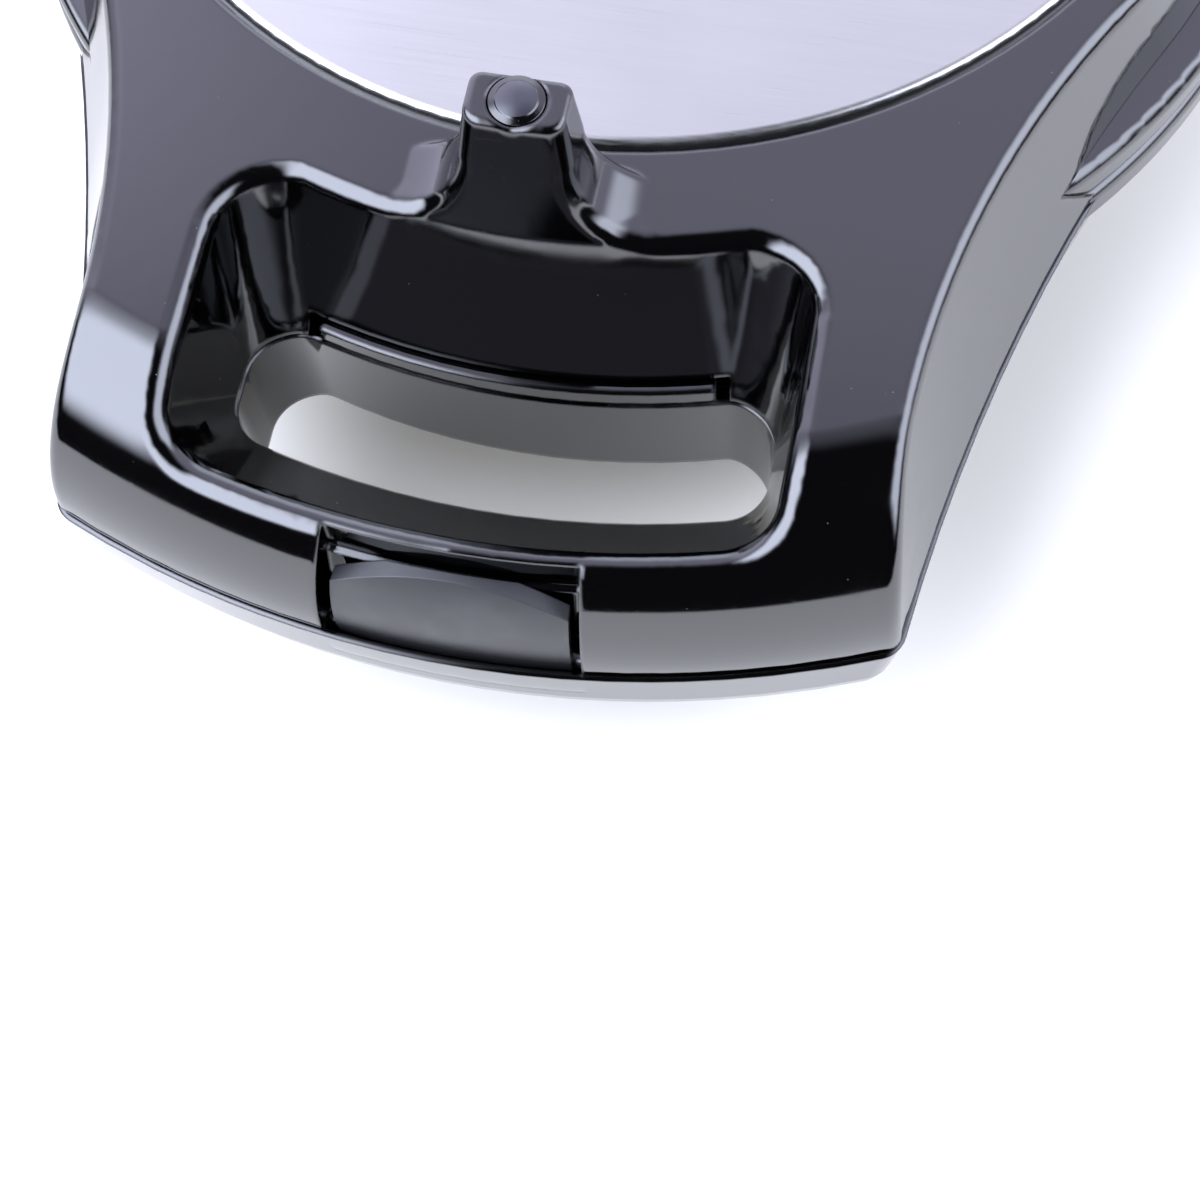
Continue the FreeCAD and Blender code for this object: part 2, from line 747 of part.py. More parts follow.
def lid_hollow(body):
    """The room for the carrier ring, and above it the room for the heater."""
    slope = (s.body_low_radius - s.body_top_radius) / s.lid_height
    low = s.body_low_radius - slope * s.ring_height - s.shell_wall
    high = s.body_low_radius - slope * (lid_ceiling - lid_low) - s.shell_wall
    room = section(body, "lid_hollow_outline", [
        (0, lid_low - OVERSHOOT),
        (s.ring_radius + s.ring_gap, lid_low - OVERSHOOT),
        (s.ring_radius + s.ring_gap, ring_seat_in_lid),
        (low, ring_seat_in_lid),
        (high, lid_ceiling),
        (0, lid_ceiling),
    ])
    turned(body, room, "Groove", "lid_hollow")


def lid_screw_bosses(body):
    x = s.carrier_screw_circle * COS_BETWEEN
    y = s.carrier_screw_circle * SIN_BETWEEN
    boss = pad(body, disc(body, "screw_boss_outline", ring_seat_in_lid, x, y, s.base_post_radius),
               lid_ceiling - ring_seat_in_lid + s.seat_wall / 2, "screw_boss")
    around(body, [boss], MOULDS_AROUND, "screw_bosses")
    hole = pocket(body, disc(body, "screw_hole_outline", ring_seat_in_lid, x, y, screw_hole_radius),
                  lid_ceiling - ring_seat_in_lid - s.screw_end_wall, "screw_hole", reversed_side=True)
    around(body, [hole], MOULDS_AROUND, "screw_holes")


def lid_latch_notch(body):
    """The latch's notch with its ledge, the slot for its nub, and the room for the base's tongue."""
    back = s.front_radius - s.notch_depth
    ledge = lid_top - s.notch_ledge_drop
    out = s.front_radius + OVERSHOOT
    notch = section(body, "notch_outline", [
        (-back, lid_top + OVERSHOOT),
        (-back - s.notch_lean, ledge),
        (-s.notch_ledge_radius, ledge),
        (-s.notch_low_radius, lid_low - OVERSHOOT),
        (-out, lid_low - OVERSHOOT),
        (-out, lid_top + OVERSHOOT),
    ])
    turned(body, notch, "Groove", "notch", s.notch_angle, midplane=True)
    nub_top = lid_top - s.latch_nub_drop
    slot = section(body, "nub_slot_outline", [
        (-s.latch_nub_reach + s.latch_nub_gap, nub_top + s.latch_nub_gap),
        (-out, nub_top + s.latch_nub_gap),
        (-out, nub_top - s.latch_nub_height - s.latch_nub_gap),
        (-s.latch_nub_reach + s.latch_nub_gap, nub_top - s.latch_nub_height - s.latch_nub_gap),
    ])
    turned(body, slot, "Groove", "nub_slot", s.latch_nub_angle + s.latch_nub_gap * 2, midplane=True)
    tongue_back = s.grip_back_low_radius - s.tongue_setback - s.tongue_thickness - s.tongue_gap
    room = section(body, "tongue_room_outline", [
        (-tongue_back, lid_low - OVERSHOOT),
        (-tongue_back, s.base_height + s.tongue_height + s.tongue_gap),
        (-s.grip_back_low_radius - OVERSHOOT, s.base_height + s.tongue_height + s.tongue_gap),
        (-s.grip_back_low_radius - OVERSHOOT, lid_low - OVERSHOOT),
    ])
    turned(body, room, "Groove", "tongue_room", s.tongue_angle + s.tongue_side_angle, midplane=True)


# Steel disc, lens and lamp on the lid
def lid_disc():
    """A pressed sheet whose rolled edge stands on the bottom of its seat."""
    body = new_body("lid_disc")
    seat = lid_top - s.disc_seat_depth
    top = lid_top + s.disc_rise
    roll_centre = (s.disc_radius - s.disc_roll, top - s.disc_roll)
    inner_roll = s.disc_roll - s.disc_sheet
    outline = draw(new_sketch(body, "disc_outline", "YZ_Plane"), [
        line(0, top - s.disc_sheet),
        line(roll_centre[0], top - s.disc_sheet),
        arc(roll_centre[0] + inner_roll, roll_centre[1], roll_centre, inner_roll, RIGHT_TURN),
        line(roll_centre[0] + inner_roll, seat),
        line(s.disc_radius, seat),
        line(s.disc_radius, roll_centre[1]),
        arc(roll_centre[0], top, roll_centre, s.disc_roll, LEFT_TURN),
        line(0, top),
    ])
    turned(body, outline, "Revolution", "disc")
    finish(body)


def indicator_lens():
    body = new_body("indicator_lens")
    top = boss_top + s.lens_dome
    dome_radius = (s.lens_radius * s.lens_radius + s.lens_dome * s.lens_dome) / (2 * s.lens_dome)
    sketch = new_sketch(body, "lens_outline", "XZ_Plane", s.lens_y)
    draw(sketch, [
        line(0, lens_seat - s.lens_stem_length),
        line(s.lens_stem_radius, lens_seat - s.lens_stem_length),
        line(s.lens_stem_radius, lens_seat),
        line(s.lens_radius, lens_seat),
        line(s.lens_radius, boss_top),
        arc(0, top, (0, top - dome_radius), dome_radius, LEFT_TURN),
    ])
    turned(body, sketch, "Revolution", "lens")
    finish(body)


def indicator_lamp():
    """A small lamp that stands in the boss just under the lens."""
    body = new_body("indicator_lamp")
    top = lens_seat - s.lens_stem_length
    bottom = top - s.lamp_length
    shoulder = top - s.lamp_radius
    sketch = new_sketch(body, "lamp_outline", "XZ_Plane", s.lens_y)
    draw(sketch, [
        line(0, bottom),
        line(s.lamp_radius, bottom),
        line(s.lamp_radius, shoulder),
        arc(0, top, (0, shoulder), s.lamp_radius, LEFT_TURN),
    ])
    turned(body, sketch, "Revolution", "lamp")
    finish(body)


# Pieces that both halves have. Each is drawn with its parting face at z = 0, and +z goes into its own half.
def carrier_ring(label, height, flipped, radius):
    body = new_body(label)
    bore = s.plate_radius + s.plate_gap
    outline = section(body, "ring_outline", [
        (bore, 0),
        (radius, 0),
        (radius, s.ring_height),
        (s.ring_flange_radius, s.ring_height),
        (s.ring_flange_radius, tab_level),
        (bore, tab_level),
    ])
    turned(body, outline, "Revolution", "ring")
    rounded(body, s.ring_edge_round, "ring_edge_round",
            lambda edge: abs(math.hypot(edge.Vertexes[0].X, edge.Vertexes[0].Y) - radius.value) < NEAR
            and abs(highest(edge) - lowest(edge)) < NEAR)
    tab = pad(body, block(body, "tab_outline", tab_level, [
        (s.tab_inner_radius, -s.tab_half),
        (s.ring_flange_radius + OVERLAP, -s.tab_half),
        (s.ring_flange_radius + OVERLAP, s.tab_half),
        (s.tab_inner_radius, s.tab_half),
    ]), s.ring_flange, "tab")
    around(body, [tab], MOULDS_AROUND, "tabs")
    sketch = disc(body, "tab_holes_outline", s.ring_height, s.plate_screw_circle, 0, screw_hole_radius)
    circle(sketch, s.carrier_screw_circle, 0, screw_hole_radius)
    holes = pocket(body, sketch, s.ring_flange, "tab_holes")
    around(body, [holes], MOULDS_AROUND, "all_tab_holes")
    finish(body, height, flipped, BETWEEN_MOULDS)


def mould_section(body, name, offset, radius):
    """Half of a mould's round section, beside the axis of that mould."""
    sketch = new_sketch(body, name, "XZ_Plane")
    bind(sketch, "AttachmentOffset.Base.x", offset)
    centre = (s.mould_ring_radius, 0)
    return draw(sketch, [
        line(s.mould_ring_radius + radius, 0),
        arc(s.mould_ring_radius, radius, centre, radius, LEFT_TURN),
        arc(s.mould_ring_radius - radius, 0, centre, radius, LEFT_TURN),
    ])


def baking_plate(label, height, flipped):
    """A cast plate with one ring mould in the middle and six around it."""
    body = new_body(label)
    pad(body, disc(body, "plate_outline", 0, 0, 0, s.plate_radius), s.plate_flange, "plate")
    forms = (("Revolution", "mould_back", bulge_radius), ("Groove", "mould", s.mould_tube_radius))
    for kind, name, radius in forms:
        turned(body, mould_section(body, f"middle_{name}_outline", 0, radius), kind, f"middle_{name}")
        outline = mould_section(body, f"{name}_outline", s.mould_pitch, radius)
        first = turned(body, outline, kind, f"first_{name}")
        around(body, [first], MOULDS_AROUND, f"outer_{name}s")
    plate_posts(body)
    if flipped:
        pad(body, disc(body, "stat_pad_outline", s.plate_flange / 2, 0, 0, s.stat_pad_radius),
            bulge_radius + s.stat_pad_rise - s.plate_flange / 2, "stat_pad")
    finish(body, height, flipped)


def plate_posts(body):
    """Posts on the back for the screws that hold the plate and for those that hold the heater clamps."""
    x = s.plate_screw_circle * COS_BETWEEN
    y = s.plate_screw_circle * SIN_BETWEEN
    inside = s.plate_flange / 2
    post = pad(body, disc(body, "plate_post_outline", inside, x, y, s.plate_post_radius),
               tab_level - inside, "plate_post")
    around(body, [post], MOULDS_AROUND, "plate_posts")
    hole = pocket(body, disc(body, "plate_hole_outline", tab_level, x, y, screw_hole_radius),
                  s.ring_flange + s.screw_bite, "plate_hole")
    around(body, [hole], MOULDS_AROUND, "plate_holes")
    post = pad(body, disc(body, "clamp_post_outline", inside, 0, s.clamp_post_circle, s.clamp_post_radius),
               clamp_level - inside, "clamp_post")
    around(body, [post], CLAMPS, "clamp_posts")
    outline = disc(body, "clamp_hole_outline", clamp_level, 0, s.clamp_post_circle, screw_hole_radius)
    hole = pocket(body, outline, clamp_level - s.plate_flange, "clamp_hole")
    around(body, [hole], CLAMPS, "clamp_holes")


def radial_plane(sketch, angle, distance):
    """Stands a sketch square to the radius at an angle, away from the axis and at the heater's level."""
    sketch.AttachmentOffset = Placement(Vector(), Rotation(Vector(0, 1, 0), angle))
    bind(sketch, "AttachmentOffset.Base.x", distance * math.sin(math.radians(angle)))
    bind(sketch, "AttachmentOffset.Base.y", heater_level)
    bind(sketch, "AttachmentOffset.Base.z", distance * math.cos(math.radians(angle)))
    return sketch


def heater(label, height, flipped):
    """A sheathed tube: a ring in the valley between the moulds, and two legs that end in its pins."""
    body = new_body(label)
    reach = heater_ring_radius + s.heater_bend
    leg_start = root(reach * reach - s.heater_bend * s.heater_bend)
    sine = s.heater_bend / reach
    cosine = leg_start / reach
    bend_cos = COS_BETWEEN * cosine + SIN_BETWEEN * sine
    bend_sin = SIN_BETWEEN * cosine - COS_BETWEEN * sine
    centre = (reach * bend_cos, reach * bend_sin)
    ring_end = (heater_ring_radius * bend_cos, heater_ring_radius * bend_sin)
    leg = (leg_start * COS_BETWEEN, leg_start * SIN_BETWEEN)
    tip = (s.heater_leg_end * COS_BETWEEN, s.heater_leg_end * SIN_BETWEEN)
    spine = new_sketch(body, "heater_path", "XY_Plane", heater_level)
    open_wire(spine, (-tip[0], tip[1]), [
        line(-leg[0], leg[1]),
        arc(-ring_end[0], ring_end[1], (-centre[0], centre[1]), s.heater_bend, RIGHT_TURN),
        arc(ring_end[0], ring_end[1], (0, 0), heater_ring_radius, LEFT_TURN),
        arc(leg[0], leg[1], centre, s.heater_bend, RIGHT_TURN),
        line(tip[0], tip[1]),
    ])
    left_angle = HALF_TURN - BETWEEN_MOULDS
    profile = radial_plane(new_sketch(body, "heater_section", "YZ_Plane"), left_angle, s.heater_leg_end)
    circle(profile, 0, 0, s.heater_tube_radius)
    tube = body.newObject("PartDesign::AdditivePipe", "heater_tube")
    tube.Profile = profile
    tube.Spine = spine
    for name, angle in (("left", left_angle), ("right", BETWEEN_MOULDS)):
        end = radial_plane(new_sketch(body, f"pin_outline_{name}", "YZ_Plane"), angle, s.heater_leg_end)
        circle(end, 0, 0, s.heater_pin_radius)
        pad(body, end, s.heater_pin_length, f"pin_{name}")
    finish(body, height, flipped)


def heater_clamps(label, height, flipped):
    """Flat straps that hold the heater down on the plate's posts."""
    body = new_body(label)
    strap = pad(body, block(body, "strap_outline", clamp_level, [
        (heater_ring_radius - s.heater_tube_radius - s.clamp_overhang, -s.clamp_half),
        (s.clamp_post_circle + s.clamp_overhang, -s.clamp_half),
        (s.clamp_post_circle + s.clamp_overhang, s.clamp_half),
        (heater_ring_radius - s.heater_tube_radius - s.clamp_overhang, s.clamp_half),
    ]), s.clamp_thickness, "strap")
    strap_back = clamp_level + s.clamp_thickness
    outline = disc(body, "strap_hole_outline", strap_back, s.clamp_post_circle, 0, screw_hole_radius)
    hole = pocket(body, outline, s.clamp_thickness, "strap_hole")
    around(body, [strap, hole], CLAMPS, "straps")
    finish(body, height, flipped, CLAMP_SPIN)


def screws(label, height, flipped, spin, count, radius, head_level, tip_level):
    """Round-headed screws on a circle: the head lies on the far side of its seat from the tip."""
    body = new_body(label)
    away = 1 if size(head_level).value > size(tip_level).value else -1
    head_end = head_level + s.screw_head_height * away
    sketch = new_sketch(body, "screw_outline", "XZ_Plane")
    bind(sketch, "AttachmentOffset.Base.x", radius)
    draw(sketch, [line(*point) for point in (
        (0, head_end),
        (s.screw_head_radius, head_end),
        (s.screw_head_radius, head_level),
        (s.screw_radius, head_level),
        (s.screw_radius, tip_level),
        (0, tip_level),
    )])
    first = turned(body, sketch, "Revolution", "screw")
    around(body, [first], count, "all_screws")
    finish(body, height, flipped, spin)


def half(prefix, height, flipped, ring_label, ring_radius):
    carrier_ring(ring_label, height, flipped, ring_radius)
    baking_plate(f"{prefix}_plate", height, flipped)
    heater(f"{prefix}_heater", height, flipped)
    heater_clamps(f"{prefix}_heater_clamps", height, flipped)
    screws(f"{prefix}_plate_screws", height, flipped, BETWEEN_MOULDS, MOULDS_AROUND, s.plate_screw_circle,
           s.ring_height, tab_level - s.screw_bite)
    strap_back = clamp_level + s.clamp_thickness
    screws(f"{prefix}_clamp_screws", height, flipped, CLAMP_SPIN, CLAMPS, s.clamp_post_circle,
           strap_back, strap_back - s.clamp_screw_length)


def upper_heat_shield():
    body = new_body("upper_heat_shield")
    outline = disc(body, "upper_shield_outline", lid_ceiling, 0, 0, s.upper_shield_radius)
    pad(body, outline, s.shield_thickness, "upper_shield", reversed_side=True)
    finish(body)


# Base shell
def base_outlines(body):
    """Outlines of the base from its underside up, drawn in step by step so that the lower edge is round."""
    outlines = []

    def add(height, radius, inset):
        sketch = new_sketch(body, f"base_outline_{len(outlines)}", "XY_Plane", height)
        outlines.append(draw(sketch, handle_outline(
            radius, s.waist_low_half + s.bulge - inset, s.waist_low_y,
            s.front_radius + s.base_front_lip - inset, s.base_corner_round)))

    for angle in UNDER_ROUND_ANGLES:
        rise = s.base_handle_round * (1 - math.cos(math.radians(angle)))
        inset = s.base_handle_round * (1 - math.sin(math.radians(angle)))
        add(handle_low + rise, bowl_top_radius, s.base_handle_draft + inset)
    add(s.base_height, base_body_radius, size(0))
    return outlines


def base_shell():
    body = new_body("base_shell")
    loft(body, base_outlines(body), "AdditiveLoft", "base_block")
    corner_centre = (s.bowl_low_radius - s.bowl_corner, s.foot_height + s.bowl_corner)
    bowl = draw(new_sketch(body, "bowl_outline", "YZ_Plane"), [
        line(0, s.foot_height),
        line(s.bowl_low_radius - s.bowl_corner, s.foot_height),
        arc(s.bowl_low_radius, s.foot_height + s.bowl_corner, corner_centre, s.bowl_corner, LEFT_TURN),
        line(bowl_top_radius, handle_low),
        line(0, handle_low),
    ])
    turned(body, bowl, "Revolution", "bowl")
    base_ears(body)
    gland_boss = new_sketch(body, "gland_boss_outline", "XZ_Plane", -s.gland_face_y)
    circle(gland_boss, 0, s.gland_height, s.gland_boss_radius)
    pad(body, gland_boss, s.gland_depth, "gland_boss")
    base_hollow(body)
    base_posts(body)
    base_handle(body)
    gland_hole = new_sketch(body, "gland_hole_outline", "XZ_Plane", -s.gland_face_y)
    circle(gland_hole, 0, s.gland_height, s.gland_sleeve_radius + s.gland_gap)
    pocket(body, gland_hole, s.gland_depth + OVERSHOOT, "gland_hole", reversed_side=True)
    sockets = new_sketch(body, "foot_sockets_outline", "XY_Plane", s.foot_height)
    for x, y in foot_places():
        circle(sockets, x, y, s.foot_radius + s.foot_gap)
    pocket(body, sockets, s.foot_seat, "foot_sockets", reversed_side=True)
    finish(body)


def foot_places():
    return [(x, y) for x in (s.foot_x, -s.foot_x) for y in (s.foot_y, -s.foot_y)]


def base_ears(body):
    """Two pairs of ears behind the body that carry the hinge pins."""
    back_of_ring = s.hinge_y - s.hinge_round
    root_y = bowl_top_radius - OVERSHOOT * 2
    below_ring = ring_seat_in_base - s.ring_gap
    pivot = (s.hinge_y, s.hinge_height)
    heel = (s.hinge_y + s.hinge_round - s.ear_round, handle_low + s.ear_round)
    inner = s.hinge_x - s.lug_width / 2 - s.ear_gap - s.ear_width
    outer = s.hinge_x + s.lug_width / 2 + s.ear_gap
    for place, distance in (("inner", inner), ("outer", outer)):
        for side, start in hinge_sides(s.ear_width, distance):
            sketch = draw(new_sketch(body, f"{place}_ear_outline_{side}", "YZ_Plane", start), [
                line(root_y, handle_low),
                line(s.hinge_y + s.hinge_round - s.ear_round, handle_low),
                arc(s.hinge_y + s.hinge_round, handle_low + s.ear_round, heel, s.ear_round, LEFT_TURN),
                line(s.hinge_y + s.hinge_round, s.hinge_height),
                arc(s.hinge_y, s.hinge_height + s.hinge_round, pivot, s.hinge_round, LEFT_TURN),
                arc(back_of_ring, s.hinge_height, pivot, s.hinge_round, LEFT_TURN),
                line(back_of_ring, below_ring),
                line(root_y, below_ring),
            ])
            circle(sketch, s.hinge_y, s.hinge_height, s.hinge_pin_radius + s.hinge_pin_gap)
            pad(body, sketch, s.ear_width, f"{place}_ear_{side}")


def base_hollow(body):
    """The room inside the bowl, and above it the seat of the carrier ring."""
    room = section(body, "base_hollow_outline", [
        (0, base_floor),
        (s.bowl_low_radius - s.bowl_corner, base_floor),
        (s.bowl_low_radius - s.shell_wall, s.foot_height + s.bowl_corner),
        (bowl_top_radius - s.shell_wall, handle_low),
        (bowl_top_radius - s.shell_wall, ring_seat_in_base),
        (base_ring_radius + s.ring_gap, ring_seat_in_base),
        (base_ring_radius + s.ring_gap, s.base_height + OVERSHOOT),
        (0, s.base_height + OVERSHOOT),
    ])
    turned(body, room, "Groove", "base_hollow")


def base_posts(body):
    """Posts for the screws of the lower carrier ring, sunk from below, vents, and the heat shield's posts."""
    x = s.carrier_screw_circle * COS_BETWEEN
    y = s.carrier_screw_circle * SIN_BETWEEN
    post = pad(body, disc(body, "base_post_outline", s.foot_height + OVERLAP, x, y, s.base_post_radius),
               ring_seat_in_base - s.foot_height - OVERLAP, "base_post")
    around(body, [post], MOULDS_AROUND, "base_posts")
    sink_radius = s.screw_head_radius + s.screw_sink_gap
    sink = pocket(body, disc(body, "screw_sink_outline", s.foot_height, x, y, sink_radius),
                  s.base_screw_sink, "screw_sink", reversed_side=True)
    around(body, [sink], MOULDS_AROUND, "screw_sinks")
    hole = pocket(body, disc(body, "base_screw_hole_outline", s.foot_height, x, y, screw_hole_radius),
                  s.base_height, "base_screw_hole", reversed_side=True)
    around(body, [hole], MOULDS_AROUND, "base_screw_holes")
    vent = pocket(body, block(body, "vent_outline", s.foot_height, [
        (s.vent_start, -s.vent_half),
        (s.vent_start + s.vent_length, -s.vent_half),
        (s.vent_start + s.vent_length, s.vent_half),
        (s.vent_start, s.vent_half),
    ]), s.shell_wall, "vent", reversed_side=True)
    around(body, [vent], VENTS, "vents")
    post_foot = s.foot_height + OVERLAP
    outline = disc(body, "shield_post_outline", post_foot, 0, s.shield_post_circle, s.shield_post_radius)
    prop = pad(body, outline, s.shield_height - post_foot, "shield_post")
    around(body, [prop], CLAMPS, "shield_posts")


def base_handle(body):
    """The finger opening, the tongue at its back, and the pocket and pin hole of the latch."""
    front = s.front_radius + s.base_front_lip
    grip = draw(new_sketch(body, "base_grip_outline", "XY_Plane", s.base_height), grip_outline(
        s.grip_back_low_radius, s.grip_front_low_radius, s.grip_low_half, s.grip_low_corner))
    pocket(body, grip, s.base_handle_height, "base_grip")
    tongue_front = s.grip_back_low_radius - s.tongue_setback
    tongue = section(body, "tongue_outline", [
        (-tongue_front, s.base_height - OVERLAP),
        (-tongue_front, s.base_height + s.tongue_height),
        (-tongue_front + s.tongue_thickness, s.base_height + s.tongue_height),
        (-tongue_front + s.tongue_thickness, s.base_height - OVERLAP),
    ])
    turned(body, tongue, "Revolution", "tongue", s.tongue_angle, midplane=True)
    pocket_front = front - s.latch_rim_wall
    room = section(body, "latch_pocket_outline", [
        (-pocket_front, s.base_height - s.latch_pocket_depth),
        (-pocket_front, s.base_height + OVERSHOOT),
        (-pocket_front + s.latch_pocket_back, s.base_height + OVERSHOOT),
        (-pocket_front + s.latch_pocket_back, s.base_height - s.latch_pocket_depth),
    ])
    turned(body, room, "Groove", "latch_pocket", s.notch_angle, midplane=True)
    pin_hole = new_sketch(body, "latch_pin_hole_outline", "YZ_Plane")
    circle(pin_hole, latch_pin_y, latch_pin_z, s.latch_pin_radius + s.latch_pin_gap)
    pocket(body, pin_hole, s.latch_pin_half * 2, "latch_pin_hole", midplane=True)


# Pieces inside the base, on its underside and at its hinge
def lower_heat_shield():
    body = new_body("lower_heat_shield")
    under = s.shield_height
    rim = s.lower_shield_radius
    dish = section(body, "lower_shield_outline", [
        (0, under),
        (rim, under),
        (rim, under + s.lower_shield_rim),
        (rim - s.shield_thickness, under + s.lower_shield_rim),
        (rim - s.shield_thickness, under + s.shield_thickness),
        (0, under + s.shield_thickness),
    ])
    turned(body, dish, "Revolution", "lower_shield")
    finish(body)


def thermostat_bracket():
    """A strip on the lower plate's pad that carries the thermostat and, in a sleeve at its end, the fuse."""
    body = new_body("thermostat_bracket")
    seat = bulge_radius + s.stat_pad_rise
    pad(body, block(body, "strip_outline", seat, [
        (-s.stat_pad_radius, -s.bracket_half),
        (s.bracket_reach, -s.bracket_half),
        (s.bracket_reach, s.bracket_half),
        (-s.stat_pad_radius, s.bracket_half),
    ]), s.bracket_thickness, "strip")
    sleeve = new_sketch(body, "sleeve_outline", "XZ_Plane")
    circle(sleeve, s.bracket_reach, fuse_level(), s.fuse_radius + s.fuse_gap + s.fuse_sleeve_wall)
    pad(body, sleeve, s.bracket_half * 2, "sleeve", midplane=True)
    bore = new_sketch(body, "sleeve_bore_outline", "XZ_Plane")
    circle(bore, s.bracket_reach, fuse_level(), s.fuse_radius + s.fuse_gap)
    pocket(body, bore, s.bracket_half * 2, "sleeve_bore", midplane=True)
    finish(body, s.base_height, True)


def fuse_level():
    return bulge_radius + s.stat_pad_rise + s.fuse_sleeve_wall + s.fuse_gap + s.fuse_radius


def thermal_fuse():
    body = new_body("thermal_fuse")
    for name, radius, length in (("can", s.fuse_radius, s.fuse_length),
                                 ("leads", s.fuse_lead_radius, s.fuse_length + s.fuse_lead_length * 2)):
        sketch = new_sketch(body, f"fuse_{name}_outline", "XZ_Plane")
        circle(sketch, s.bracket_reach, fuse_level(), radius)
        pad(body, sketch, length, f"fuse_{name}", midplane=True)
    finish(body, s.base_height, True)


def thermostat():
    body = new_body("thermostat")
    seat = bulge_radius + s.stat_pad_rise + s.bracket_thickness
    body_outline = disc(body, "stat_body_outline", seat, 0, 0, s.stat_body_radius)
    pad(body, body_outline, s.stat_body_height, "stat_body")
    cap_outline = disc(body, "stat_cap_outline", seat + s.stat_body_height, 0, 0, s.stat_cap_radius)
    pad(body, cap_outline, s.stat_cap_height, "stat_cap")
    finish(body, s.base_height, True)


def terminal_block():
    body = new_body("terminal_block")
    left = s.terminal_x - s.terminal_length / 2
    right = s.terminal_x + s.terminal_length / 2
    back = s.terminal_y + s.terminal_width / 2
    front = s.terminal_y - s.terminal_width / 2
    corners = [(left, front), (right, front), (right, back), (left, back)]
    pad(body, block(body, "terminal_outline", base_floor, corners), s.terminal_height, "terminal")
    holes = new_sketch(body, "terminal_holes_outline", "XZ_Plane", -s.terminal_y)
    for side in (-1, 1):
        circle(holes, s.terminal_x + s.terminal_length / 4 * side, base_floor + s.terminal_height / 2,
               s.terminal_hole_radius)
    pocket(body, holes, s.terminal_width * 2, "terminal_holes", midplane=True)
    finish(body)


def rubber_feet():
    names = ("foot_right_back", "foot_right_front", "foot_left_back", "foot_left_front")
    for label, (x, y) in zip(names, foot_places()):
        body = new_body(label)
        pad(body, disc(body, "foot_outline", 0, x, y, s.foot_radius), s.foot_height + s.foot_seat, "foot")
        rounded(body, s.foot_round, "foot_round", lambda edge: level(edge, size(0)))
        finish(body)


def cord_gland():
    """The grommet that the cord would pass through; the cord itself is not part of the model."""
    body = new_body("cord_gland")
    sleeve = new_sketch(body, "gland_sleeve_outline", "XZ_Plane", -s.gland_face_y)
    circle(sleeve, 0, s.gland_height, s.gland_sleeve_radius)
    pad(body, sleeve, s.gland_depth, "gland_sleeve")
    flange = new_sketch(body, "gland_flange_outline", "XZ_Plane", -s.gland_face_y - s.gland_flange)
    circle(flange, 0, s.gland_height, s.gland_flange_radius)
    pad(body, flange, s.gland_flange, "gland_flange")
    bore = new_sketch(body, "gland_bore_outline", "XZ_Plane", -s.gland_face_y)
    circle(bore, 0, s.gland_height, s.gland_bore_radius)
    pocket(body, bore, (s.gland_depth + s.gland_flange) * 2, "gland_bore", midplane=True)
    finish(body)


def hinge_pins():
    length = s.lug_width + (s.ear_gap + s.ear_width + s.hinge_pin_overhang) * 2
    for side, start in hinge_sides(length, s.hinge_x - length / 2):
        body = new_body(f"hinge_pin_{side}")
        sketch = new_sketch(body, "hinge_pin_outline", "YZ_Plane", start)
        circle(sketch, s.hinge_y, s.hinge_height, s.hinge_pin_radius)
        pad(body, sketch, length, "hinge_pin")
        finish(body)


# Latch
def latch():
    """A plate that follows the front of the handle, with a nub behind it and a knuckle on its pin."""
    body = new_body("latch")
    outer = nose_radius - s.latch_inset
    inner = outer - s.latch_thickness
    rise = s.lid_height - s.latch_crown_drop + s.latch_bevel / 2
    inner_rise = rise - s.latch_bevel
    outer_top = nose_centre + root(outer * outer - rise * rise)
    inner_top = nose_centre + root(inner * inner - inner_rise * inner_rise)
    plate = draw(new_sketch(body, "latch_outline", "YZ_Plane"), [
        line(-(nose_centre + outer), latch_pin_z),
        line(-(nose_centre + outer), lid_low),
        arc(-outer_top, lid_low + rise, (-nose_centre, lid_low), outer, RIGHT_TURN),
        line(-inner_top, lid_low + inner_rise),
        arc(-(nose_centre + inner), lid_low, (-nose_centre, lid_low), inner, LEFT_TURN),
        line(-(nose_centre + inner), latch_pin_z),
    ])
    turned(body, plate, "Revolution", "latch_plate", s.latch_angle, midplane=True)
    nub_top = lid_top - s.latch_nub_drop
    nub = section(body, "nub_outline", [
        (-s.latch_nub_reach, nub_top),
        (-(nose_centre + outer - s.latch_thickness / 2), nub_top),
        (-(nose_centre + outer - s.latch_thickness / 2), nub_top - s.latch_nub_height),
        (-s.latch_nub_reach, nub_top - s.latch_nub_height),
    ])
    turned(body, nub, "Revolution", "nub", s.latch_nub_angle, midplane=True)
    knuckle = new_sketch(body, "knuckle_outline", "YZ_Plane")
    circle(knuckle, latch_pin_y, latch_pin_z, s.latch_knuckle_radius)
    pad(body, knuckle, s.latch_knuckle_half * 2, "knuckle", midplane=True)
    bore = new_sketch(body, "knuckle_bore_outline", "YZ_Plane")
    circle(bore, latch_pin_y, latch_pin_z, s.latch_pin_radius + s.latch_pin_gap)
    pocket(body, bore, s.latch_pin_half * 2, "knuckle_bore", midplane=True)
    crown = lid_top - s.latch_crown_drop
    half_width = s.latch_pin_half
    drop = s.latch_crown_radius - root(
        s.latch_crown_radius * s.latch_crown_radius - half_width * half_width)
    above = draw(new_sketch(body, "crown_outline", "XZ_Plane", s.front_radius), [
        line(-half_width, crown - drop),
        arc(half_width, crown - drop, (0, crown - s.latch_crown_radius), s.latch_crown_radius, RIGHT_TURN),
        line(half_width, lid_top),
        line(-half_width, lid_top),
    ])
    pocket(body, above, s.notch_depth * 4, "crown", midplane=True)
    finish(body)


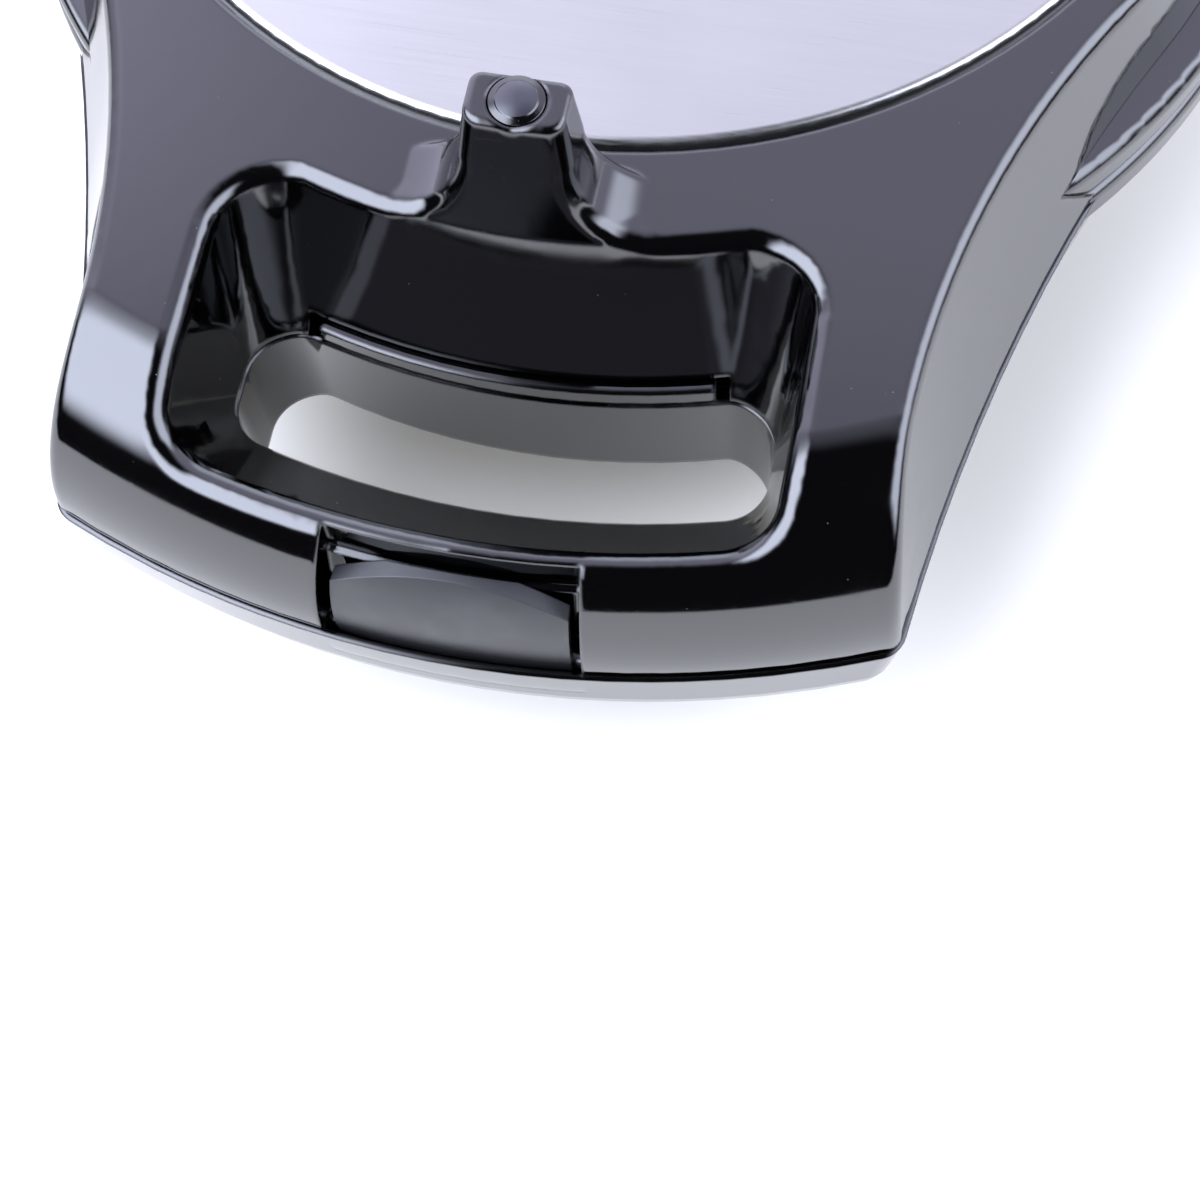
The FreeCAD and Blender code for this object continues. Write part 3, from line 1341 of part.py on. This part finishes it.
def latch_pin():
    body = new_body("latch_pin")
    sketch = new_sketch(body, "latch_pin_outline", "YZ_Plane")
    circle(sketch, latch_pin_y, latch_pin_z, s.latch_pin_radius)
    pad(body, sketch, s.latch_pin_half * 2, "latch_pin_rod", midplane=True)
    finish(body)


lid_shell()
lid_disc()
indicator_lens()
indicator_lamp()
half("upper", lid_low, False, "lid_ring", s.ring_radius)
screws("lid_screws", lid_low, False, BETWEEN_MOULDS, MOULDS_AROUND, s.carrier_screw_circle,
       tab_level, tab_level + s.ring_flange + s.lid_screw_bite)
upper_heat_shield()
base_shell()
half("lower", s.base_height, True, "base_ring", base_ring_radius)
screws("base_screws", s.base_height, True, BETWEEN_MOULDS, MOULDS_AROUND, s.carrier_screw_circle,
       s.base_height - s.foot_height - s.base_screw_sink, tab_level)
lower_heat_shield()
thermostat_bracket()
thermal_fuse()
thermostat()
terminal_block()
rubber_feet()
cord_gland()
hinge_pins()
latch()
latch_pin()
doc.recompute()

for thing in doc.Objects:
    if "Invalid" in thing.State or "Error" in thing.State:
        raise RuntimeError(f"{thing.Label} did not build: {thing.State}")
for piece in pieces:
    if piece.Shape.isNull() or not piece.Shape.isValid():
        raise RuntimeError(f"{piece.Label} has no valid shape")

os.makedirs("parts", exist_ok=True)
for piece in pieces:
    piece.Shape.exportStep(f"parts/{piece.Label}.step")
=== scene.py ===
import math

import bmesh
import bpy
from bpy.props import FloatProperty, FloatVectorProperty, PointerProperty
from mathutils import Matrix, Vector


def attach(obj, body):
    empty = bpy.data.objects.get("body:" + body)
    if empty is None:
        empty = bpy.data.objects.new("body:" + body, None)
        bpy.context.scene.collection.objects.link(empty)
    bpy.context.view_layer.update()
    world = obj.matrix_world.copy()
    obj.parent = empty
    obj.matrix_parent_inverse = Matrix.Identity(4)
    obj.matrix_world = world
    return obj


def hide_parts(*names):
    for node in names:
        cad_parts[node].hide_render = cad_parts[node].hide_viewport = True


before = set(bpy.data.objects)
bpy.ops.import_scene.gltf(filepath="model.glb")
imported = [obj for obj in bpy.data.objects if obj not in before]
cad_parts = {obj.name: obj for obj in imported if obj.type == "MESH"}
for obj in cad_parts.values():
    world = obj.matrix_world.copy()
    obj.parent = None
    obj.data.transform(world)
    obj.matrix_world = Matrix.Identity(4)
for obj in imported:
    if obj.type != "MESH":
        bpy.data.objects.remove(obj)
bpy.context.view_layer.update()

bl_info = {
    "name": "Donut maker",
    "version": (1, 0, 0),
    "blender": (4, 5, 0),
    "location": "3D View > Sidebar > Donut maker",
    "description": "Gives the packed donut maker its finishes and sets it in a plain studio",
    "category": "Object",
}

MILLIMETRE = 0.001

MERGE_DISTANCE = 0.001 * MILLIMETRE
HOLLOW_STEP = 6 * MILLIMETRE
SLIDE_FADE = 7 * MILLIMETRE
POLISHED_IOR = 1.9
LENS_IOR = 1.8
SATIN_IOR = 1.7
CORNER_START, CORNER_FULL = -0.20, -0.48
BACK_START, BACK_FULL = 0.16, 0.54


def colour(name, text, default):
    return FloatVectorProperty(name=name, description=text, default=default, subtype="COLOR", min=0, max=1)


def length(name, text, default):
    return FloatProperty(name=name, description=text, default=default, unit="LENGTH", subtype="DISTANCE")


def place(name, text, default):
    return FloatVectorProperty(
        name=name, description=text, default=default, unit="LENGTH", subtype="TRANSLATION")


def direction(name, text, default):
    return FloatVectorProperty(name=name, description=text, default=default, subtype="XYZ")


def strength(name, text, default):
    return FloatProperty(name=name, description=text, default=default, min=0)


def share(name, text, default):
    return FloatProperty(name=name, description=text, default=default, min=0, soft_max=1, subtype="FACTOR")


class FinishSettings(bpy.types.PropertyGroup):
    """Colours and surface sizes of the finishes"""

    gloss_black: colour("Gloss black", "Moulded lid and base", (0.0005, 0.0005, 0.0006))
    gloss_roughness: share("Gloss roughness", "Roughness of the polished mouldings", 0.06)
    ring_black: colour("Ring black", "Carrier rings between the two halves", (0.0020, 0.0020, 0.0022))
    slide: length("Slide", "How far each side of the finger opening slides inward", 2.8 * MILLIMETRE)
    slide_start: length("Slide start", "Distance from the middle where the slide starts", 28 * MILLIMETRE)
    slide_full: length("Slide in full", "Distance from the middle where the slide is full", 43 * MILLIMETRE)
    slide_end: length(
        "Slide end", "Distance from the middle where nothing slides any more", 60 * MILLIMETRE)
    hollow_radius: length(
        "Hollow radius", "Radius of the room for the rings, which stays as it is", 116 * MILLIMETRE)
    hollow_taper: length("Hollow taper", "How much narrower that room is above the rings", 15 * MILLIMETRE)
    hollow_level: length("Hollow level", "Height of the top of the rings", 56 * MILLIMETRE)
    dust: colour("Dust", "Specks that settle on the dark pieces", (0.30, 0.29, 0.29))
    edge_softness: length(
        "Edge softness", "How far a moulded edge is rounded in the shading", 1.2 * MILLIMETRE)
    steel: colour("Steel", "Brushed disc on the lid", (0.60, 0.60, 0.575))
    lens_violet: colour("Lens", "Tinted plastic over the lamp", (0.022, 0.021, 0.034))
    dome_radius: length("Lens dome", "Radius of the lens inside its collar", 3.0 * MILLIMETRE)
    lamp_amber: colour("Lamp", "Glass of the lamp under the lens", (0.80, 0.36, 0.16))
    latch_grey: colour("Latch grey", "Satin plastic of the latch", (0.020, 0.0205, 0.023))
    worn_grey: colour("Worn grey", "Where the latch is rubbed pale", (0.032, 0.033, 0.035))
    coating: colour("Non-stick coating", "Dark coating of the baking plates", (0.030, 0.029, 0.029))
    coating_fleck: colour("Coating fleck", "Pale flecks in the coating", (0.16, 0.155, 0.15))
    sheath: colour("Heater sheath", "Dull steel of the heaters", (0.30, 0.29, 0.28))
    sheath_blue: colour("Heat tint", "Where heat has coloured the sheath", (0.16, 0.16, 0.22))
    zinc: colour("Zinc", "Plating of screws, pins and clamps", (0.60, 0.61, 0.63))
    sheet: colour("Shield sheet", "Bright sheet of the heat shields", (0.74, 0.74, 0.75))
    ceramic: colour("Ceramic", "Body of the thermostat", (0.55, 0.49, 0.40))
    terminal: colour("Terminal block", "Pale moulded block", (0.72, 0.70, 0.65))
    rubber: colour("Rubber", "Feet and cord gland", (0.020, 0.020, 0.021))


class StudioSettings(bpy.types.PropertyGroup):
    """Floor, light and camera of the studio"""

    camera_place: place("Camera place", "Where the camera stands", (0.053426, -0.238173, 0.336197))
    camera_turn: FloatVectorProperty(
        name="Camera turn", description="How the camera is turned", subtype="EULER", unit="ROTATION",
        default=tuple(math.radians(angle) for angle in (20.0484, 2.4381, 11.0510)))
    camera_lens: FloatProperty(
        name="Lens", description="Focal length on a 36 mm sensor", default=59.47, unit="CAMERA")
    floor_size: length("Floor size", "Side of the square floor", 8.0)
    floor_tone: colour("Floor tone", "Pale floor", (0.92, 0.90, 0.82))
    floor_glow: strength("Floor glow", "Light that comes up through the floor", 0.13)
    front_tone: colour("Front tone", "Dim side of the room, in front", (0.02, 0.02, 0.024))
    back_tone: colour("Back tone", "Bright side of the room, behind", (0.76, 0.75, 1.0))
    back_strength: strength("Back strength", "Brightness behind the object", 1.45)
    corner_strength: strength("Corner strength", "Brightness behind the object on the left", 2.6)
    light_tone: colour("Light tone", "Cool tone of the softboxes", (0.77, 0.82, 1.0))
    box_edge: share("Softbox edge", "How far the light of a softbox fades at its edges", 0.13)
    left_strength: strength("Left box", "Brightness of the large softbox", 7.7)
    left_low: direction("Left box start", "Least X, Y and Z of the directions to it", (-1.1, -0.90, 0.42))
    left_high: direction("Left box end", "Most X, Y and Z of the directions to it", (-0.25, 0.25, 1.1))
    right_strength: strength("Right box", "Brightness of the softbox on the right", 5.5)
    right_low: direction("Right box start", "Least X, Y and Z of the directions to it", (0.50, -0.35, 0.30))
    right_high: direction("Right box end", "Most X, Y and Z of the directions to it", (1.1, 0.55, 0.85))
    rear_strength: strength("Rear box", "Brightness of the low softbox behind", 3.0)
    rear_low: direction("Rear box start", "Least X, Y and Z of the directions to it", (-0.40, 0.75, 0.10))
    rear_high: direction("Rear box end", "Most X, Y and Z of the directions to it", (0.10, 1.1, 0.60))


class Value:
    """A socket that takes part in sums. Each step of a sum adds one Math node."""

    def __init__(self, shading, socket):
        self.shading = shading
        self.socket = socket

    def step(self, operation, first, second):
        return self.shading.node("ShaderNodeMath", {"operation": operation}, {0: first, 1: second})

    def __add__(self, other):
        return self.step("ADD", self, other)

    def __sub__(self, other):
        return self.step("SUBTRACT", self, other)

    def __rsub__(self, other):
        return self.step("SUBTRACT", other, self)

    def __mul__(self, other):
        return self.step("MULTIPLY", self, other)

    __radd__ = __add__
    __rmul__ = __mul__


class Shading:
    """A node tree, and the few kinds of node that the finishes are made of."""

    def __init__(self, tree):
        self.tree = tree

    def node(self, kind, settings=None, inputs=None, output=0):
        """Adds a node, sets it up, fills or links its sockets and returns one of its outputs."""
        made = self.tree.nodes.new(kind)
        for name, setting in (settings or {}).items():
            setattr(made, name, setting)
        for name, value in (inputs or {}).items():
            if isinstance(value, Value):
                self.tree.links.new(value.socket, made.inputs[name])
            else:
                made.inputs[name].default_value = value
        return Value(self, made.outputs[output])

    def between(self, value, low, high):
        """Rises smoothly from 0 at the low value to 1 at the high one."""
        return self.node("ShaderNodeMapRange", {"interpolation_type": "SMOOTHSTEP"},
                         {"Value": value, "From Min": low, "From Max": high})

    def blend(self, amount, first, second):
        """A colour between two others."""
        sides = [tone if isinstance(tone, Value) else (*tone[:3], 1.0) for tone in (first, second)]
        return self.node("ShaderNodeMix", {"data_type": "RGBA"},
                         {0: amount, 6: sides[0], 7: sides[1]}, output=2)


class Finish(Shading):
    """A material whose patterns lie on the piece's own Object coordinates."""

    def __init__(self, name):
        self.material = bpy.data.materials.new(name)
        self.material.use_nodes = True
        super().__init__(self.material.node_tree)
        self.shader = self.tree.nodes["Principled BSDF"]
        self.at = self.node("ShaderNodeTexCoord", output="Object")

    def noise(self, size, detail=2.0, stretch=(1, 1, 1)):
        """Cloudy noise with features of about the given size, shorter along a stretched axis."""
        spread = self.node("ShaderNodeMapping", None, {"Vector": self.at, "Scale": stretch})
        return self.node("ShaderNodeTexNoise", None,
                         {"Vector": spread, "Scale": 1 / size, "Detail": detail})

    def specks(self, spacing, radius):
        """Round specks, one for each cell of the given spacing."""
        cell = self.node("ShaderNodeTexVoronoi", None,
                         {"Vector": self.at, "Scale": 1 / spacing}, "Distance")
        return self.between(cell, radius / spacing, radius / spacing / 2)

    def edges(self, radius):
        """The surface's normal with its edges softened."""
        return self.node("ShaderNodeBevel", {"samples": 10}, {"Radius": radius})

    def bump(self, height, depth, normal=None):
        """A normal that follows a height pattern of the given depth."""
        inputs = {"Height": height, "Strength": 1.0, "Distance": depth}
        if normal is not None:
            inputs["Normal"] = normal
        return self.node("ShaderNodeBump", None, inputs)

    def surface(self, **inputs):
        """Fills the shader's own sockets, and returns the material."""
        for name, value in inputs.items():
            socket = self.shader.inputs[name.replace("_", " ").title().replace("Ior", "IOR")]
            if isinstance(value, Value):
                self.tree.links.new(value.socket, socket)
            elif isinstance(value, (int, float)):
                socket.default_value = value
            else:
                socket.default_value = (*value[:3], 1.0)
        return self.material


def dress(material, *names):
    """Gives CAD nodes their finish."""
    for name in names:
        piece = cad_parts[name]
        piece.data.materials.clear()
        piece.data.materials.append(material)


def gloss(name, tone, settings, roughness, waviness):
    """Polished moulded plastic with wipe marks, hair scratches, settled dust and soft edges."""
    finish = Finish(name)
    smudge = finish.between(finish.noise(18 * MILLIMETRE, 4.0), 0.45, 0.75)
    scratch = finish.between(finish.noise(0.35 * MILLIMETRE, 1.0, (0.02, 1.0, 0.3)), 0.70, 0.78)
    grains = finish.between(finish.noise(9 * MILLIMETRE), 0.50, 0.62)
    dust = finish.specks(2.6 * MILLIMETRE, 0.11 * MILLIMETRE) * grains
    tint = finish.blend(finish.noise(30 * MILLIMETRE, 3.0), tone, [part * 1.35 for part in tone])
    ripple = finish.noise(7 * MILLIMETRE, 1.0)
    return finish.surface(
        base_color=finish.blend(dust * 0.7, tint, settings.dust),
        roughness=roughness + smudge * 0.05 + scratch * 0.06 + dust * 0.4,
        normal=finish.bump(ripple + dust * 0.4, waviness, finish.edges(settings.edge_softness)),
        ior=POLISHED_IOR,
    )


def metal(name, tone, dark, roughness, grain_size, stretch, depth):
    """Bare metal with a grain that is drawn out along its rolling or brushing direction."""
    finish = Finish(name)
    grain = finish.noise(grain_size, 3.0, stretch)
    cloud = finish.noise(26 * MILLIMETRE, 3.0)
    return finish.surface(
        base_color=finish.blend(grain * 0.6 + cloud * 0.4, dark, tone),
        metallic=1.0,
        roughness=roughness - 0.10 + grain * 0.14 + cloud * 0.08,
        normal=finish.bump(grain, depth),
    )


def moulded(name, tone, pale, roughness, grain_size, depth):
    """Unpolished plastic, ceramic or rubber with a fine moulded grain and paler rubbed clouds."""
    finish = Finish(name)
    grain = finish.noise(grain_size, 2.0)
    rubbed = finish.between(finish.noise(8 * MILLIMETRE, 5.0), 0.46, 0.72)
    return finish.surface(
        base_color=finish.blend(rubbed * 0.45 + grain * 0.2, tone, pale),
        roughness=roughness + grain * 0.12 - rubbed * 0.08,
        normal=finish.bump(grain, depth, finish.edges(0.25 * MILLIMETRE)),
        ior=SATIN_IOR,
    )


def ease(value, low, high):
    """Rises smoothly from 0 at the low value to 1 at the high one."""
    share_between = min(max((value - low) / (high - low), 0.0), 1.0)
    return share_between * share_between * (3 - 2 * share_between)


def box_of(name):
    """The two corners of a CAD node's box."""
    corners = [Vector(corner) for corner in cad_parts[name].bound_box]
    return [Vector(pick(corner[axis] for corner in corners) for axis in range(3)) for pick in (min, max)]


def narrowed(name, label, body, settings):
    """A moulding with a narrower finger opening, whose sides slide inward about the disc's axis."""
    axis = sum(box_of("lid_disc"), Vector()) / 2
    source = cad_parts[name].data
    shape = bmesh.new()
    shape.from_mesh(source)
    kept = shape.loops.layers.float_vector.new("kept_normal")
    for face in shape.faces:
        for loop in face.loops:
            loop[kept] = source.corner_normals[loop.index].vector
    bmesh.ops.remove_doubles(shape, verts=shape.verts, dist=MERGE_DISTANCE)
    for vertex in shape.verts:
        offset = vertex.co - axis
        reach = math.hypot(offset.x, offset.y)
        aside = abs(offset.x)
        inner = settings.hollow_radius - settings.hollow_taper * ease(
            vertex.co.z, settings.hollow_level, settings.hollow_level + HOLLOW_STEP)
        amount = ease(reach, inner, inner + SLIDE_FADE) if offset.y < 0 else 0.0
        amount *= ease(aside, settings.slide_start, settings.slide_full)
        amount *= ease(aside, settings.slide_end, settings.slide_end - SLIDE_FADE)
        across = aside - settings.slide * amount
        if amount > 0:
            vertex.co.x = axis.x + math.copysign(across, offset.x)
            vertex.co.y = axis.y - math.sqrt(reach * reach - across * across)
    mesh = bpy.data.meshes.new(label)
    shape.to_mesh(mesh)
    shape.free()
    mesh.shade_smooth()
    mesh.normals_split_custom_set([entry.vector for entry in mesh.attributes["kept_normal"].data])
    mesh.attributes.remove(mesh.attributes["kept_normal"])
    piece = bpy.data.objects.new(label, mesh)
    bpy.context.scene.collection.objects.link(piece)
    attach(piece, body)
    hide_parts(name)
    return piece


class DONUTMAKER_OT_shells(bpy.types.Operator):
    """Lid and base with their gloss black finish, and the carrier rings"""

    bl_idname = "donutmaker.shells"
    bl_label = "Lid, base and rings"

    def execute(self, context):
        settings = context.scene.donutmaker_finishes
        shell = gloss("gloss_black_moulding", settings.gloss_black, settings,
                      settings.gloss_roughness, 0.012 * MILLIMETRE)
        ring = gloss("ring_black_moulding", settings.ring_black, settings,
                     settings.gloss_roughness * 2, 0.015 * MILLIMETRE)
        for name, label, body in (
                ("lid_shell", "lid_moulding", "lid"), ("base_shell", "base_moulding", "base")):
            narrowed(name, label, body, settings).data.materials.append(shell)
        dress(ring, "lid_ring", "base_ring")
        return {"FINISHED"}


class DONUTMAKER_OT_disc(bpy.types.Operator):
    """Brushed steel finish of the disc on the lid"""

    bl_idname = "donutmaker.disc"
    bl_label = "Steel disc"

    def execute(self, context):
        settings = context.scene.donutmaker_finishes
        darker = [part * 0.86 for part in settings.steel]
        brushed = metal("brushed_steel", settings.steel, darker, 0.30, 0.25 * MILLIMETRE,
                        (0.012, 1.0, 1.0), 0.003 * MILLIMETRE)
        dress(brushed, "lid_disc")
        return {"FINISHED"}


class DONUTMAKER_OT_indicator(bpy.types.Operator):
    """Tinted lens and the glass lamp under it"""

    bl_idname = "donutmaker.indicator"
    bl_label = "Indicator"

    def execute(self, context):
        settings = context.scene.donutmaker_finishes
        lens = Finish("violet_lens")
        middle = sum(box_of("indicator_lens"), Vector()) / 2
        aside = lens.node("ShaderNodeMapping", {"vector_type": "TEXTURE"},
                          {"Vector": lens.at, "Location": middle})
        flat = lens.node("ShaderNodeVectorMath", {"operation": "MULTIPLY"}, {0: aside, 1: (1, 1, 0)})
        reach = lens.node("ShaderNodeVectorMath", {"operation": "LENGTH"}, {0: flat}, "Value")
        collar = lens.between(reach, settings.dome_radius, settings.dome_radius + 0.15 * MILLIMETRE)
        crease = lens.between(reach, settings.dome_radius + 0.35 * MILLIMETRE, settings.dome_radius)
        cloud = lens.noise(1.6 * MILLIMETRE, 3.0)
        pits = lens.specks(0.9 * MILLIMETRE, 0.07 * MILLIMETRE)
        darker = [part * 0.6 for part in settings.lens_violet]
        tint = lens.blend(cloud, darker, settings.lens_violet)
        dress(lens.surface(
            base_color=lens.blend(collar, tint, settings.gloss_black),
            roughness=0.24 + cloud * 0.14 + pits * 0.3 - collar * 0.16,
            normal=lens.bump(crease * 6.0 + cloud + pits, 0.02 * MILLIMETRE, lens.edges(0.25 * MILLIMETRE)),
            ior=LENS_IOR,
        ), "indicator_lens")
        lamp = Finish("amber_glass")
        haze = lamp.noise(1.2 * MILLIMETRE, 2.0)
        dress(lamp.surface(
            base_color=lamp.blend(haze, settings.lamp_amber, [part * 0.7 for part in settings.lamp_amber]),
            roughness=0.05 + haze * 0.10,
            transmission_weight=0.7,
        ), "indicator_lamp")
        return {"FINISHED"}


class DONUTMAKER_OT_latch(bpy.types.Operator):
    """Satin grey finish of the latch"""

    bl_idname = "donutmaker.latch"
    bl_label = "Latch"

    def execute(self, context):
        settings = context.scene.donutmaker_finishes
        satin = moulded("satin_latch_grey", settings.latch_grey, settings.worn_grey, 0.40,
                        0.22 * MILLIMETRE, 0.02 * MILLIMETRE)
        dress(satin, "latch")
        return {"FINISHED"}


class DONUTMAKER_OT_plates(bpy.types.Operator):
    """Flecked non-stick coating of the baking plates"""

    bl_idname = "donutmaker.plates"
    bl_label = "Baking plates"

    def execute(self, context):
        settings = context.scene.donutmaker_finishes
        finish = Finish("non_stick_coating")
        flecks = finish.specks(0.8 * MILLIMETRE, 0.14 * MILLIMETRE)
        peel = finish.noise(0.9 * MILLIMETRE, 2.0)
        baked = finish.between(finish.noise(22 * MILLIMETRE, 4.0), 0.48, 0.78)
        browned = [part * 1.8 for part in settings.coating]
        ground = finish.blend(baked, settings.coating, browned)
        dress(finish.surface(
            base_color=finish.blend(flecks * 0.55, ground, settings.coating_fleck),
            roughness=0.34 + peel * 0.12 + baked * 0.10,
            normal=finish.bump(peel, 0.03 * MILLIMETRE, finish.edges(0.4 * MILLIMETRE)),
        ), "upper_plate", "lower_plate")
        return {"FINISHED"}


class DONUTMAKER_OT_heaters(bpy.types.Operator):
    """Dull, heat-tinted sheath of the heaters"""

    bl_idname = "donutmaker.heaters"
    bl_label = "Heaters"

    def execute(self, context):
        settings = context.scene.donutmaker_finishes
        sheath = metal("heater_sheath", settings.sheath, settings.sheath_blue, 0.50, 3 * MILLIMETRE,
                       (1, 1, 1), 0.02 * MILLIMETRE)
        dress(sheath, "upper_heater", "lower_heater")
        return {"FINISHED"}


class DONUTMAKER_OT_fittings(bpy.types.Operator):
    """Zinc plating of the clamps, screws, pins and fuse, and the bright sheet of the shields"""

    bl_idname = "donutmaker.fittings"
    bl_label = "Steel fittings and shields"

    def execute(self, context):
        settings = context.scene.donutmaker_finishes
        zinc = metal("zinc_plating", settings.zinc, [part * 0.7 for part in settings.zinc], 0.36,
                     0.8 * MILLIMETRE, (1, 1, 1), 0.01 * MILLIMETRE)
        dress(zinc, "upper_heater_clamps", "lower_heater_clamps", "upper_plate_screws", "lower_plate_screws",
              "upper_clamp_screws", "lower_clamp_screws", "lid_screws", "base_screws", "thermal_fuse",
              "hinge_pin_left", "hinge_pin_right", "latch_pin")
        sheet = metal("bright_shield_sheet", settings.sheet, [part * 0.8 for part in settings.sheet], 0.28,
                      1.2 * MILLIMETRE, (0.05, 1, 1), 0.02 * MILLIMETRE)
        dress(sheet, "upper_heat_shield", "lower_heat_shield", "thermostat_bracket")
        return {"FINISHED"}


class DONUTMAKER_OT_controls(bpy.types.Operator):
    """Ceramic body of the thermostat and the pale terminal block"""

    bl_idname = "donutmaker.controls"
    bl_label = "Thermostat and terminals"

    def execute(self, context):
        settings = context.scene.donutmaker_finishes
        ceramic = moulded("thermostat_ceramic", settings.ceramic, [part * 1.2 for part in settings.ceramic],
                          0.55, 0.4 * MILLIMETRE, 0.03 * MILLIMETRE)
        dress(ceramic, "thermostat")
        block = moulded("terminal_moulding", settings.terminal, [part * 1.12 for part in settings.terminal],
                        0.45, 0.5 * MILLIMETRE, 0.02 * MILLIMETRE)
        dress(block, "terminal_block")
        return {"FINISHED"}


class DONUTMAKER_OT_rubber(bpy.types.Operator):
    """Matt rubber of the feet and the cord gland"""

    bl_idname = "donutmaker.rubber"
    bl_label = "Feet and gland"

    def execute(self, context):
        settings = context.scene.donutmaker_finishes
        matt = moulded("matt_rubber", settings.rubber, [part * 2.4 for part in settings.rubber], 0.72,
                       0.35 * MILLIMETRE, 0.05 * MILLIMETRE)
        dress(matt, "foot_left_back", "foot_left_front", "foot_right_back", "foot_right_front", "cord_gland")
        return {"FINISHED"}


class DONUTMAKER_OT_stage(bpy.types.Operator):
    """Pale floor, soft light and the camera"""

    bl_idname = "donutmaker.stage"
    bl_label = "Studio"

    def execute(self, context):
        studio = context.scene.donutmaker_studio
        self.floor(studio)
        self.room(context.scene, studio)
        self.camera(context.scene, studio)
        context.scene.view_settings.view_transform = "Standard"
        return {"FINISHED"}

    def floor(self, studio):
        mesh = bpy.data.meshes.new("floor")
        shape = bmesh.new()
        bmesh.ops.create_grid(shape, x_segments=1, y_segments=1, size=studio.floor_size / 2)
        shape.to_mesh(mesh)
        shape.free()
        floor = bpy.data.objects.new("floor", mesh)
        bpy.context.scene.collection.objects.link(floor)
        paper = Finish("floor_paper")
        cloud = paper.noise(0.2, 2.0)
        mesh.materials.append(paper.surface(
            base_color=paper.blend(cloud, [part * 0.985 for part in studio.floor_tone], studio.floor_tone),
            roughness=0.85,
            specular_ior_level=0.1,
            emission_color=studio.floor_tone,
            emission_strength=studio.floor_glow,
        ))

    def room(self, scene, studio):
        """A room that is dim in front and overhead and bright behind, with three softboxes in it."""
        world = bpy.data.worlds.new("studio_room")
        world.use_nodes = True
        scene.world = world
        shading = Shading(world.node_tree)
        way = shading.node("ShaderNodeTexCoord", output="Generated")
        parts = [shading.node("ShaderNodeSeparateXYZ", None, {"Vector": way}, axis) for axis in "XYZ"]
        back, corner = ([part * brightness for part in studio.back_tone]
                        for brightness in (studio.back_strength, studio.corner_strength))
        behind = shading.blend(shading.between(parts[0], CORNER_START, CORNER_FULL), back, corner)
        tone = shading.blend(shading.between(parts[1], BACK_START, BACK_FULL), studio.front_tone, behind)
        for side in ("left", "right", "rear"):
            low, high, brightness = (
                getattr(studio, f"{side}_{what}") for what in ("low", "high", "strength"))
            glow = self.softbox(shading, parts, low, high, studio.box_edge)
            tone = shading.blend(glow, tone, [part * brightness for part in studio.light_tone])
        world.node_tree.links.new(tone.socket, world.node_tree.nodes["Background"].inputs["Color"])

    def softbox(self, shading, parts, low, high, edge):
        """Rises to 1 in the directions between two corners, and falls to 0 around them."""
        glow = 1.0
        for part, least, most in zip(parts, low, high):
            glow = glow * shading.between(part, least - edge, least + edge)
            glow = glow * shading.between(part, most + edge, most - edge)
        return glow

    def camera(self, scene, studio):
        data = bpy.data.cameras.new("front_camera")
        data.lens = studio.camera_lens
        camera = bpy.data.objects.new("front_camera", data)
        camera.location = studio.camera_place
        camera.rotation_euler = studio.camera_turn
        scene.collection.objects.link(camera)
        scene.camera = camera


OPERATORS = (
    DONUTMAKER_OT_shells,
    DONUTMAKER_OT_disc,
    DONUTMAKER_OT_indicator,
    DONUTMAKER_OT_latch,
    DONUTMAKER_OT_plates,
    DONUTMAKER_OT_heaters,
    DONUTMAKER_OT_fittings,
    DONUTMAKER_OT_controls,
    DONUTMAKER_OT_rubber,
    DONUTMAKER_OT_stage,
)


class DONUTMAKER_PT_panel(bpy.types.Panel):
    """Lists the pieces and the settings in the sidebar"""

    bl_idname = "DONUTMAKER_PT_panel"
    bl_label = "Donut maker"
    bl_space_type = "VIEW_3D"
    bl_region_type = "UI"
    bl_category = "Donut maker"

    def draw(self, context):
        for operator in OPERATORS:
            self.layout.operator(operator.bl_idname)
        for settings in (context.scene.donutmaker_finishes, context.scene.donutmaker_studio):
            for name in settings.bl_rna.properties.keys():
                if name not in ("rna_type", "name"):
                    self.layout.prop(settings, name)


CLASSES = (FinishSettings, StudioSettings, *OPERATORS, DONUTMAKER_PT_panel)


def register():
    for kind in CLASSES:
        bpy.utils.register_class(kind)
    bpy.types.Scene.donutmaker_finishes = PointerProperty(type=FinishSettings)
    bpy.types.Scene.donutmaker_studio = PointerProperty(type=StudioSettings)


def unregister():
    del bpy.types.Scene.donutmaker_studio
    del bpy.types.Scene.donutmaker_finishes
    for kind in reversed(CLASSES):
        bpy.utils.unregister_class(kind)


def main():
    register()
    for operator in OPERATORS:
        group, action = operator.bl_idname.split(".")
        getattr(getattr(bpy.ops, group), action)()


if __name__ == "__main__":
    main()
